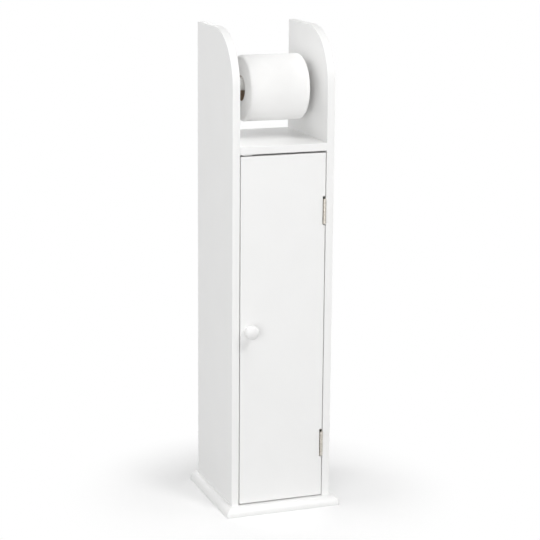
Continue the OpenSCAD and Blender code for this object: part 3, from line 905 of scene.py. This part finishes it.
# %% A tree that sweeps a wire along a helix
def new_tree(name, sockets):
    """A geometry tree with named inputs, each given as its name and kind."""
    tree = bpy.data.node_groups.new(name, "GeometryNodeTree")
    face = tree.interface
    face.new_socket("Geometry", in_out="INPUT", socket_type="NodeSocketGeometry")
    face.new_socket("Geometry", in_out="OUTPUT", socket_type="NodeSocketGeometry")
    for label, kind in sockets:
        face.new_socket(label, in_out="INPUT", socket_type="NodeSocket" + kind)
    return tree, tree.nodes.new("NodeGroupInput").outputs


def deliver(tree, geometry, mat):
    """Ends a tree with real geometry that has its finish."""
    real = add(tree, "GeometryNodeRealizeInstances", {0: geometry})
    coated = add(tree, "GeometryNodeSetMaterial", {"Geometry": real, "Material": mat})
    connect(tree, tree.nodes.new("NodeGroupOutput").inputs[0], coated)


def grown(tree, start, values):
    """The mesh that a tree makes from a start mesh, with its named inputs set."""
    helper = helper_object(start)
    modifier = helper.modifiers.new(tree.name, "NODES")
    modifier.node_group = tree
    for item in tree.interface.items_tree:
        if item.in_out == "INPUT" and item.name in values:
            modifier[item.identifier] = values[item.name]
    return evaluated(helper)


helix_tree, given = new_tree("helix", [
    ("Turns", "Float"), ("Radius", "Float"), ("Length", "Float"), ("Wire radius", "Float"),
    ("Steps per turn", "Int"), ("Sides", "Int"), ("Finish", "Material")])
spiral = add(helix_tree, "GeometryNodeCurveSpiral", {
    "Resolution": given["Steps per turn"], "Rotations": given["Turns"],
    "Start Radius": given["Radius"], "End Radius": given["Radius"], "Height": given["Length"]})
upright = add(helix_tree, "GeometryNodeSetCurveNormal", {"Curve": spiral}, mode="Z_UP")
section = add(helix_tree, "GeometryNodeCurvePrimitiveCircle", {
    "Resolution": given["Sides"], "Radius": given["Wire radius"]})
swept = add(helix_tree, "GeometryNodeCurveToMesh", {
    "Curve": upright, "Profile Curve": section, "Fill Caps": True})
kept = add(helix_tree, "GeometryNodeStoreNamedAttribute", {
    "Geometry": swept, "Name": "own_place", "Value": add(
        helix_tree, "GeometryNodeInputPosition")},
    data_type="FLOAT_VECTOR", domain="POINT")
deliver(helix_tree, kept, given["Finish"])


def helix(**values):
    named = {key.replace("_", " ").capitalize(): value for key, value in values.items()}
    return grown(helix_tree, bpy.data.meshes.new("start"), named)


print("helix inputs:", [s.name for s in given if s.name])

# %% Helpers: threads and cross recesses
def joined(meshes, name):
    """Several meshes as one mesh of separate closed shells."""
    bm = bmesh.new()
    for mesh in meshes:
        bm.from_mesh(mesh)
    made = bpy.data.meshes.new(name)
    bm.to_mesh(made)
    bm.free()
    return made


def thread(crest, pitch, start, end):
    """A ridge round a core, from height start down to height end."""
    ridge = helix(
        turns=(start - end) / pitch, radius=crest * 0.84, length=start - end,
        wire_radius=crest * 0.16, steps_per_turn=16, sides=4, finish=FINISHES["zinc_plate"])
    ridge.transform(Matrix.Translation((0, 0, end)))
    return ridge


def cross_cutter(shank):
    """A tapered cross, as the driver's tip leaves it in the head."""
    rings = []
    for size, height in ((1.05, 0.4 * MM), (1.0, 0), (0.55, -0.3 * shank), (0.2, -0.42 * shank)):
        long, thin = size * shank * 0.5, size * shank * 0.13
        rings.append([(x, y, height) for x, y in (
            (long, -thin), (long, thin), (thin, thin), (thin, long), (-thin, long),
            (-thin, thin), (-long, thin), (-long, -thin), (-thin, -thin), (-thin, -long),
            (thin, -long), (thin, -thin))])
    bm = skin(rings)
    mesh = bpy.data.meshes.new("cross")
    bm.to_mesh(mesh)
    bm.free()
    return mesh


def screw_pattern(shank, length, head, head_height, pan=False):
    """A screw. Its head is countersunk, or a low round one that stands on the surface."""
    r, h = shank / 2, head / 2
    core = 0.7 * r
    if pan:
        top = [(0, 0), (h - head_height * 0.6, 0)]
        top += arc((h - head_height * 0.6, -head_height * 0.6), head_height * 0.6, 90, 0)[1:]
        top += [(h, -head_height), (r, -head_height)]
    else:
        top = [(0, 0), (h - 0.1 * MM, 0), (h, -0.1 * MM), (h, -0.25 * MM), (r, -head_height)]
    plain_end = -head_height - 0.12 * length
    tip = length - 1.2 * shank
    body = as_mesh(lathe([
        *top, (r, plain_end), (core, plain_end - 0.2 * MM), (core, -tip), (0, -length)], 32),
        "screw")
    body = combined(body, [cross_cutter(shank)], "DIFFERENCE")
    return joined([body, thread(r, 0.42 * shank, plain_end, -tip)], "screw_pattern")


print("threads and recesses are ready")

# %% [markdown]
# ## Setting the fasteners out
# The plain nodes say where every fastener goes. A node's separate solids are found by walking
# over its mesh, and the box of each solid gives a place. A mesh of loose points carries these
# places, with two directions for each: `facing`, where the head looks, and `side`, which way
# its recess is turned. A second tree puts the pattern on each point and aims it. Nobody lines
# up the slots of screws, so it then spins each one by a random angle with a fixed seed.

# %% A tree that sets a pattern out on points
set_out_tree, given = new_tree("set_out", [
    ("Pattern", "Object"), ("Largest spin", "Float"), ("Seed", "Int"), ("Finish", "Material")])


def direction(tree, name):
    return add(tree, "GeometryNodeInputNamedAttribute", {"Name": name}, data_type="FLOAT_VECTOR")


facing_out = add(set_out_tree, "FunctionNodeAlignRotationToVector", {
    "Vector": direction(set_out_tree, "facing")}, axis="Z")
squared = add(set_out_tree, "FunctionNodeAlignRotationToVector", {
    "Rotation": facing_out, "Vector": direction(set_out_tree, "side")},
    axis="X", pivot_axis="Z")
angle = add(set_out_tree, "FunctionNodeRandomValue", {
    2: 0.0, 3: given["Largest spin"], "Seed": given["Seed"]}, out=1, data_type="FLOAT")
spin = add(set_out_tree, "FunctionNodeAxisAngleToRotation", {
    "Axis": (0, 0, 1), "Angle": angle})
spun = add(set_out_tree, "FunctionNodeRotateRotation", {
    "Rotation": squared, "Rotate By": spin}, rotation_space="LOCAL")
pattern = add(set_out_tree, "GeometryNodeObjectInfo", {"Object": given["Pattern"]}, out=4)
set_out = add(set_out_tree, "GeometryNodeInstanceOnPoints", {
    "Points": given["Geometry"], "Instance": pattern, "Rotation": spun})
deliver(set_out_tree, set_out, given["Finish"])
print("set_out inputs:", [s.name for s in given if s.name])

# %% Helpers: places of the fasteners, and setting them out
def solids(node):
    """The lowest and highest corner of each separate solid of a node."""
    bm = merged(node)
    boxes = []
    left = set(bm.verts)
    while left:
        group = {left.pop()}
        edge_of_group = list(group)
        while edge_of_group:
            vert = edge_of_group.pop()
            for edge in vert.link_edges:
                other = edge.other_vert(vert)
                if other not in group:
                    group.add(other)
                    edge_of_group.append(other)
        left -= group
        boxes.append(tuple(
            Vector([pick(v.co[axis] for v in group) for axis in (X, Y, Z)])
            for pick in (min, max)))
    bm.free()
    return sorted(boxes, key=lambda box: tuple(round(c, 5) for c in box[0]))


def head_places(node, facing_of):
    """For each fastener of a node: the middle of its head's face, and where it looks."""
    places = []
    for low, high in solids(node):
        centre = (low + high) / 2
        facing = Vector(facing_of(centre))
        reach = (high - low) / 2
        at = centre + Vector(f * r for f, r in zip(facing, reach))
        places.append((at, facing))
    return places


def fasten(node, mesh, facing_of):
    """Hands over a node of fasteners, made of one pattern."""
    places = head_places(node, facing_of)
    points = bpy.data.meshes.new("points")
    points.from_pydata([at for at, _ in places], [], [])
    for name, index in (("facing", 0), ("side", 1)):
        layer = points.attributes.new(name, "FLOAT_VECTOR", "POINT")
        for spot, (_, facing) in zip(layer.data, places):
            spot.vector = (facing, facing.yzx)[index]
    model = helper_object(mesh)
    made = grown(set_out_tree, points, {
        "Pattern": model, "Largest spin": math.pi, "Seed": len(node),
        "Finish": FINISHES[SLOT_OF[node]]})
    bpy.data.objects.remove(model)
    hand_over(node, made)


def towards(x, y, z):
    return lambda centre: (x, y, z)


print("back panel pins:", len(solids("back_panel_pins")))

# %% [markdown]
# ## Fasteners of the cabinet
# Cross-head screws hold the base board, the hinges and the catch. Cam bolts with a collar
# and a small head draw the shelf against the side panels, and fluted beech dowels keep it from
# turning. Panel pins hold the back.

# %% Screws
def screw_size(node, shank, head_height):
    """A screw's sizes: its head and its length come from the plain solid's box."""
    low, high = solids(node)[0]
    head, _, length = sorted(high - low)
    return shank, length, head, head_height


LEAF_SCREW = screw_size("hinge_frame_screws", 3 * MM, 1.5 * MM)
BASE_SCREW = screw_size("base_screws", 4 * MM, 2.6 * MM)
CATCH_SCREW = screw_size("catch_screws", 3 * MM, 1.5 * MM)
STRIKE_SCREW = screw_size("strike_screw", 3 * MM, 1.5 * MM)
KNOB_SCREW = screw_size("knob_screw", 4 * MM, 2.4 * MM)

fasten("hinge_frame_screws", screw_pattern(*LEAF_SCREW), towards(-1, 0, 0))
fasten("hinge_door_screws", screw_pattern(*LEAF_SCREW), towards(1, 0, 0))
fasten("base_screws", screw_pattern(*BASE_SCREW), towards(0, 0, -1))
fasten("catch_screws", screw_pattern(*CATCH_SCREW), towards(0, 0, -1))
fasten("strike_screw", screw_pattern(*STRIKE_SCREW, pan=True), towards(0, 1, 0))
fasten("knob_screw", screw_pattern(*KNOB_SCREW, pan=True), towards(0, 1, 0))

# %% Cam bolts and panel pins
def bolt_pattern(length):
    """From the head: a thin neck, a smooth shaft, a collar, and a thread for the panel."""
    head, neck, shaft, collar = 2.5 * MM, 1.4 * MM, 2.5 * MM, 3.5 * MM
    collar_end = -(length - 9 * MM)
    core = 1.85 * MM
    body = as_mesh(lathe([
        (0, 0), (head - 0.5 * MM, 0), (head, -0.5 * MM), (head, -2 * MM), (neck, -2.5 * MM),
        (neck, -5.5 * MM), (shaft, -5.8 * MM), (shaft, collar_end + 1.5 * MM),
        (collar, collar_end + 1.5 * MM), (collar, collar_end), (core, collar_end),
        (core, 1 * MM - length), (core * 0.6, -length), (0, -length)], 32), "bolt")
    ridge = thread(2.5 * MM, 1.5 * MM, collar_end - 0.2 * MM, 0.8 * MM - length)
    return joined([body, ridge], "bolt_pattern")


def pin_pattern(length):
    head, shank = 1.4 * MM, 0.6 * MM
    return as_mesh(lathe([
        (0, 0), (head - 0.4 * MM, -0.05 * MM), (head, -0.3 * MM), (head, -0.5 * MM),
        (shank, -0.6 * MM), (shank, 1.2 * MM - length), (0, -length)], 16), "pin")


bolt_low, bolt_high = solids("cam_bolts")[0]
fasten("cam_bolts", bolt_pattern(bolt_high.x - bolt_low.x),
       lambda centre: (-math.copysign(1, centre.x), 0, 0))
pin_low, pin_high = solids("back_panel_pins")[0]
fasten("back_panel_pins", pin_pattern(pin_high.y - pin_low.y), towards(0, 1, 0))

# %% Dowels
FLUTES = 12


def dowel_pattern(length, radius=3 * MM, chamfer=1 * MM):
    """A beech peg. Its flutes let glue and air out of the hole."""
    bm = lathe([
        (0, 0), (radius - chamfer, 0), (radius, -chamfer), (radius, chamfer - length),
        (radius - chamfer, -length), (0, -length)], 4 * FLUTES)
    for vert in bm.verts:
        groove = 0.5 - 0.5 * math.cos(FLUTES * math.atan2(vert.co.y, vert.co.x))
        if vert.co.xy.length > radius / 2:
            vert.co.xy *= 1 - 0.07 * groove
    return as_mesh(bm, "dowel")


for node, axis, facing in (
        ("shelf_dowels", X, lambda centre: (math.copysign(1, centre.x), 0, 0)),
        ("base_dowels", Z, towards(0, 0, 1))):
    peg_low, peg_high = solids(node)[0]
    fasten(node, dowel_pattern(peg_high[axis] - peg_low[axis]), facing)

# %% [markdown]
# ## Holes of the base board
# The base board was skinned as a closed shell, so its holes are drilled now, where the plain
# nodes have their screws and dowels: a countersunk hole from below for each screw, and a blind
# hole from above for each dowel.

# %% Drill the base board
def countersink(shank, length, head, head_height):
    """The hole that a countersunk screw fills, with a little room over its head."""
    room = 1 * MM
    return as_mesh(lathe([
        (0, room), (head / 2, room), (head / 2, 0), (shank / 2, -head_height),
        (shank / 2, -length), (0, -length)], 32), "countersink")


drills = []
for at, facing in head_places("base_screws", towards(0, 0, -1)):
    drills.append(aimed(countersink(*BASE_SCREW), at, facing, (1, 0, 0)))
for low, high in solids("base_dowels"):
    radius = (high.x - low.x) / 2
    room = 0.5 * MM
    drill = lathe([
        (0, low.z - room), (radius, low.z - room), (radius, high.z), (0, high.z)], 32)
    drill = as_mesh(drill, "drill")
    drill.transform(Matrix.Translation(((low.x + high.x) / 2, (low.y + high.y) / 2, 0)))
    drills.append(drill)
base_mesh = combined(base_mesh, [joined(drills, "drills")], "DIFFERENCE")
base_mesh = flattened(base_mesh, 40)
mark_cut_edges(base_mesh, Z)
hand_over("base_board", base_mesh)

# %% [markdown]
# ## Hinges
# A butt hinge is pressed from one millimetre sheet. Each leaf is a plate with rounded corners
# and countersunk holes, and tongues of it are rolled round the pin into knuckles, those of one
# leaf between those of the other. A rolled knuckle isn't a closed ring: its end comes back to
# the sheet and leaves a fine slit. So its section is drawn with that slit and pulled upwards,
# a small tree repeats it at every second place, and it is joined to the plate.

# %% Section of a rolled knuckle, and its tree
SHEET = 1 * MM
KNUCKLE = 2.5 * MM
KNUCKLE_COUNT = 6
KNUCKLE_GAP = 0.5 * MM
PLATE_START = 3.8 * MM
CURL_END = 60
SLIT_END = 52


def prism(outline, low, high, name, soft=0.12 * MM):
    """An outline in the XY plane pulled up from low to high, with its edges broken."""
    bm = skin([[(x, y, z) for x, y in outline] for z in (low, high)])
    mesh = bpy.data.meshes.new(name)
    bm.to_mesh(mesh)
    bm.free()
    return worked(mesh, ("BEVEL", {
        "width": soft, "segments": 2, "limit_method": "ANGLE",
        "angle_limit": math.radians(50)}))


def knuckle_section(bore):
    """The pin is at the origin. The sheet comes from +Y, on the +X side."""
    inside = KNUCKLE - SHEET
    slit = math.radians(SLIT_END)
    jog = 0.3 * MM
    return [
        (KNUCKLE + jog, PLATE_START + 1.2 * MM), (KNUCKLE + jog, PLATE_START + 0.6 * MM),
        (KNUCKLE, PLATE_START - 0.6 * MM),
        *arc((0, 0), KNUCKLE, 0, CURL_END - 360, 24),
        *arc((0, 0), bore, CURL_END - 360, SLIT_END, 24),
        (inside, inside * math.tan(slit)), (inside, PLATE_START - 0.6 * MM),
        (inside + jog, PLATE_START + 0.6 * MM), (inside + jog, PLATE_START + 1.2 * MM)]


row_tree, given = new_tree("row_of_knuckles", [
    ("Pattern", "Object"), ("Count", "Int"), ("First height", "Float"), ("Step", "Float"),
    ("Finish", "Material")])
row_points = add(row_tree, "GeometryNodeMeshLine", {
    "Count": given["Count"],
    "Start Location": add(row_tree, "ShaderNodeCombineXYZ", {2: given["First height"]}),
    "Offset": add(row_tree, "ShaderNodeCombineXYZ", {2: given["Step"]})})
knuckle_row = add(row_tree, "GeometryNodeInstanceOnPoints", {
    "Points": row_points,
    "Instance": add(row_tree, "GeometryNodeObjectInfo", {"Object": given["Pattern"]}, out=4)})
deliver(row_tree, knuckle_row, given["Finish"])
print("section of a knuckle:", len(knuckle_section(1.2 * MM)), "points")

# %% Plates, knuckles and pins
PLATE_CORNER = 2 * MM


def plate_outline(start, end, height):
    """A rectangle in Y and Z whose far corners are rounded."""
    r = PLATE_CORNER
    corners = arc((end - r, height - r), r, 90, 0) + arc((end - r, r), r, 0, -90)
    return [(start, 0), (start, height), *corners]


def leaf(node, pin_node, screw_node, on_door):
    pin_low, pin_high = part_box(pin_node)
    pin = (pin_low + pin_high) / 2
    low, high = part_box(node)
    height = pin_high.z - pin_low.z
    pitch = height / KNUCKLE_COUNT
    play = 0.07 * MM if on_door else 0.02 * MM
    knuckle = prism(
        knuckle_section((pin_high.x - pin_low.x) / 2 + play), 0, pitch - KNUCKLE_GAP, "knuckle")
    model = helper_object(knuckle)
    first = 0 if on_door else 1
    row = grown(row_tree, bpy.data.meshes.new("start"), {
        "Pattern": model, "Count": KNUCKLE_COUNT // 2,
        "First height": first * pitch + KNUCKLE_GAP / 2, "Step": 2 * pitch,
        "Finish": FINISHES["nickel_plate"]})
    bpy.data.objects.remove(model)
    plate = prism(plate_outline(PLATE_START, high.y - pin.y, height), 0, SHEET, "plate")
    plate.transform(Matrix((
        (0, 0, 1, KNUCKLE + 0.3 * MM - SHEET), (1, 0, 0, 0), (0, 1, 0, 0), (0, 0, 0, 1))))
    mesh = combined(plate, [row], "UNION")
    if on_door:
        mesh.transform(Matrix.Diagonal((-1, 1, 1, 1)))
        mesh.flip_normals()
    mesh.transform(Matrix.Translation((pin.x, pin.y, pin_low.z)))
    facing = (1, 0, 0) if on_door else (-1, 0, 0)
    holes = [
        aimed(countersink(*LEAF_SCREW), at, facing)
        for at, _ in head_places(screw_node, towards(*facing)) if pin_low.z < at.z < pin_high.z]
    hand_over(node, flattened(combined(mesh, holes, "DIFFERENCE"), 32))


def hinge_pin(node):
    low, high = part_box(node)
    centre, radius, height = (low + high) / 2, (high.x - low.x) / 2, high.z - low.z
    end = 0.35 * MM
    mesh = as_mesh(lathe([
        (0, 0), (radius - end, 0), *arc((radius - end, end), end, -90, 0, 4)[1:],
        *arc((radius - end, height - end), end, 0, 90, 4), (0, height)], 32), "pin")
    mesh.transform(Matrix.Translation((centre.x, centre.y, low.z)))
    hand_over(node, mesh)


for which in ("lower", "upper"):
    pin_node = which + "_hinge_pin"
    leaf(which + "_hinge_frame_leaf", pin_node, "hinge_frame_screws", False)
    leaf(which + "_hinge_door_leaf", pin_node, "hinge_door_screws", True)
    hinge_pin(pin_node)

# %% [markdown]
# ## Catch, magnet, strike plate and cam discs
# These are small moulded, pressed and cast pieces. Their plain shapes are right, and only
# their edges are too sharp: a mould can't leave a sharp outer corner, and a press rounds the
# edge that it cuts. So a copy of each gets an ordinary Bevel, limited by angle.

# %% Soft edges for small pieces
def eased(node, width):
    bm = merged(node)
    mesh = bpy.data.meshes.new(node)
    bm.to_mesh(mesh)
    bm.free()
    mesh.shade_smooth()
    mesh = worked(
        mesh,
        ("BEVEL", {"width": width, "segments": 2, "limit_method": "ANGLE",
                   "angle_limit": math.radians(50)}),
        ("WEIGHTED_NORMAL", {}))
    mesh.set_sharp_from_angle(angle=math.radians(40))
    hand_over(node, mesh)


eased("catch_housing", 0.35 * MM)
eased("catch_magnet", 0.25 * MM)
eased("cam_discs", 0.3 * MM)
eased("strike_plate", 0.2 * MM)

# %% [markdown]
# ## Roller
# The roller is two plastic tubes, one inside the other, each with a closed end and a spigot
# that turns in the side panel. Both are turned here as hollow sections: up the outside from
# the tip of the spigot, round the mouth, and back down the bore to the inner face of the end.
# Moulded shoulders have small fillets, which a real tool needs.

# %% Halves of the roller
END_WALL = 2 * MM


def tube_section(length, outer, bore, spigot, spigot_length):
    """Half section of one half of the roller, from the spigot's tip at height zero."""
    tip, shoulder, mouth = 0.8 * MM, 1.2 * MM, 0.35 * MM
    root = 0.4 * MM
    return [
        (0, 0), *arc((spigot - tip, tip), tip, -90, 0),
        *arc((spigot + root, spigot_length - root), root, 180, 90, 4),
        *arc((outer - shoulder, spigot_length + shoulder), shoulder, -90, 0),
        *arc((outer - mouth, length - mouth), mouth, 0, 90, 4),
        *arc((bore + mouth, length - mouth), mouth, 90, 180, 4),
        (bore, spigot_length + END_WALL + 1 * MM),
        *arc((bore - 1 * MM, spigot_length + END_WALL + 1 * MM), 1 * MM, 0, -90, 4)[1:],
        (0, spigot_length + END_WALL)]


def roller_half(node, bore, end_side):
    low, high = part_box(node)
    centre = (low + high) / 2
    side_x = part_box("right_side_panel")[0].x
    spigot_length = max(-low.x, high.x) - side_x + 0.6 * MM
    section = tube_section(
        high.x - low.x, (high.y - low.y) / 2, bore, 4.92 * MM, spigot_length)
    tip_x = high.x if end_side > 0 else low.x
    mesh = as_mesh(lathe(section, 72), node)
    hand_over(node, aimed(mesh, (tip_x, centre.y, centre.z), (-end_side, 0, 0)))


roller_half("roller_outer_tube", 9.58 * MM, -1)
roller_half("roller_inner_tube", 8 * MM, 1)

# %% [markdown]
# ## Spring
# The spring pushes the two halves apart. It is one wire on a helix, which the first tree makes
# with its own turns and sizes. In the real roller it shortens when a half is pushed in. Here
# the piece only gets a mesh of its own, so that it could be squashed along X with the slide.

# %% Spring
SPRING_TURNS = 16
WIRE = 0.6 * MM

spring_low, spring_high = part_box("roller_spring")
spring_middle = (spring_low + spring_high) / 2
spring_length = spring_high.x - spring_low.x - 2 * WIRE
coil = helix(
    turns=float(SPRING_TURNS), radius=(spring_high.y - spring_low.y) / 2 - WIRE,
    length=spring_length, wire_radius=WIRE, steps_per_turn=28, sides=10,
    finish=FINISHES["spring_steel"])
coil.shade_smooth()
coil.set_sharp_from_angle(angle=math.radians(50))
aimed(coil, (spring_low.x + WIRE, spring_middle.y, spring_middle.z), (1, 0, 0))
spring = hand_over("roller_spring", coil)
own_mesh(spring)

# %% [markdown]
# ## Toilet roll
# The roll is hundreds of layers of tissue wound on the core. Its edges are soft where the
# outer layers give way, its ends show rings where some layers stand a little prouder than
# others, and the free edge of the last sheet makes a small step at the back. The section runs
# round the ring: out over one end, along the outside, in over the other end and back through
# the bore. The rings are small random shifts of the points on the ends, with a fixed seed.

# %% Paper roll
ROLL_EDGE = 4 * MM
RING_STEP = 0.8 * MM
RING_DEPTH = 0.16 * MM
TAIL_STEP = 0.35 * MM
TAIL_ANGLE = math.radians(215)
ROLL_SIDES = 180

roll_low, roll_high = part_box("paper_roll")
roll_middle = (roll_low + roll_high) / 2
core_low, core_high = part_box("cardboard_core")
core_radius = (core_high.y - core_low.y) / 2
roll_radius = (roll_high.y - roll_low.y) / 2
roll_half = (roll_high.x - roll_low.x) / 2
chance = random.Random(5)


def end_rings(sign):
    """Points on one end, from the core out to the rounded edge."""
    points = []
    radius = core_radius + 0.3 * MM
    while radius < roll_radius - ROLL_EDGE - RING_STEP:
        points.append((radius, sign * (roll_half - chance.random() * RING_DEPTH)))
        radius += RING_STEP * (0.5 + chance.random())
    return points


def roll_section():
    rim = roll_radius - ROLL_EDGE
    low_end, high_end = end_rings(-1), end_rings(1)
    outside = [
        (roll_radius, (ROLL_EDGE - roll_half) + (roll_half - ROLL_EDGE) * i / 12)
        for i in range(25)]
    return [
        (core_radius, 0.5 * MM - roll_half), *low_end,
        *arc((rim, ROLL_EDGE - roll_half), ROLL_EDGE, -90, 0, 8)[:-1], *outside,
        *arc((rim, roll_half - ROLL_EDGE), ROLL_EDGE, 0, 90, 8)[1:], *reversed(high_end),
        (core_radius, roll_half - 0.5 * MM)]


def wind_tail(bm):
    """Draws the outside in towards the free edge of the last sheet, which leaves a step."""
    for vert in bm.verts:
        x, y, z = vert.co
        radius = math.hypot(x, y)
        share = max(0, (radius - roll_radius + 2 * ROLL_EDGE) / (2 * ROLL_EDGE))
        turned = (math.atan2(y, x) - TAIL_ANGLE) % (2 * math.pi) / (2 * math.pi)
        vert.co.xy *= 1 - TAIL_STEP * share * turned / radius


def unroll(mesh):
    """UV map whose units are metres along the roll and metres round it."""
    wrap = mesh.uv_layers.new(name="wrap")
    for face in mesh.polygons:
        middle_angle = math.atan2(face.center.y, face.center.x)
        for loop in face.loop_indices:
            place = mesh.vertices[mesh.loops[loop].vertex_index].co
            swing = math.atan2(place.y, place.x) - middle_angle
            swing = (swing + math.pi) % (2 * math.pi) - math.pi
            wrap.data[loop].uv = (place.z, (middle_angle + swing) * roll_radius)


roll_shell = lathe(roll_section(), ROLL_SIDES, ring=True)
wind_tail(roll_shell)
roll_mesh = as_mesh(roll_shell, "paper_roll", 45)
unroll(roll_mesh)
# The ends and the bore take the end finish, whose paler colour is painted light.
for face in roll_mesh.polygons:
    on_end = abs(face.normal.z) > 0.8
    in_bore = face.center.xy.length < core_radius + 0.1 * MM
    face.material_index = int(on_end or in_bore)
aimed(roll_mesh, roll_middle, (-1, 0, 0))
hand_over("paper_roll", roll_mesh, [FINISHES["tissue_paper"], WOUND_ENDS_PAINTED_LIGHTER])

# %% Cardboard core
CORE_WALL = 1 * MM


def core_section(length):
    soft = 0.3 * MM
    half = length / 2
    outer, inner = core_radius, core_radius - CORE_WALL
    return [
        *arc((outer - soft, soft - half), soft, -90, 0, 3),
        *arc((outer - soft, half - soft), soft, 0, 90, 3),
        *arc((inner + soft, half - soft), soft, 90, 180, 3),
        *arc((inner + soft, soft - half), soft, 180, 270, 3)]


core_mesh = as_mesh(lathe(core_section(core_high.x - core_low.x), 96, ring=True), "core")
hand_over("cardboard_core", aimed(core_mesh, (core_low + core_high) / 2, (-1, 0, 0)))

# %% [markdown]
# ## Sizes, and the end
# The finished cabinet has to fit the plain one's box. The last cell prints the finished size.

# %% The finished size
low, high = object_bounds()
print("finished size:", [round(x, 4) for x in high - low])
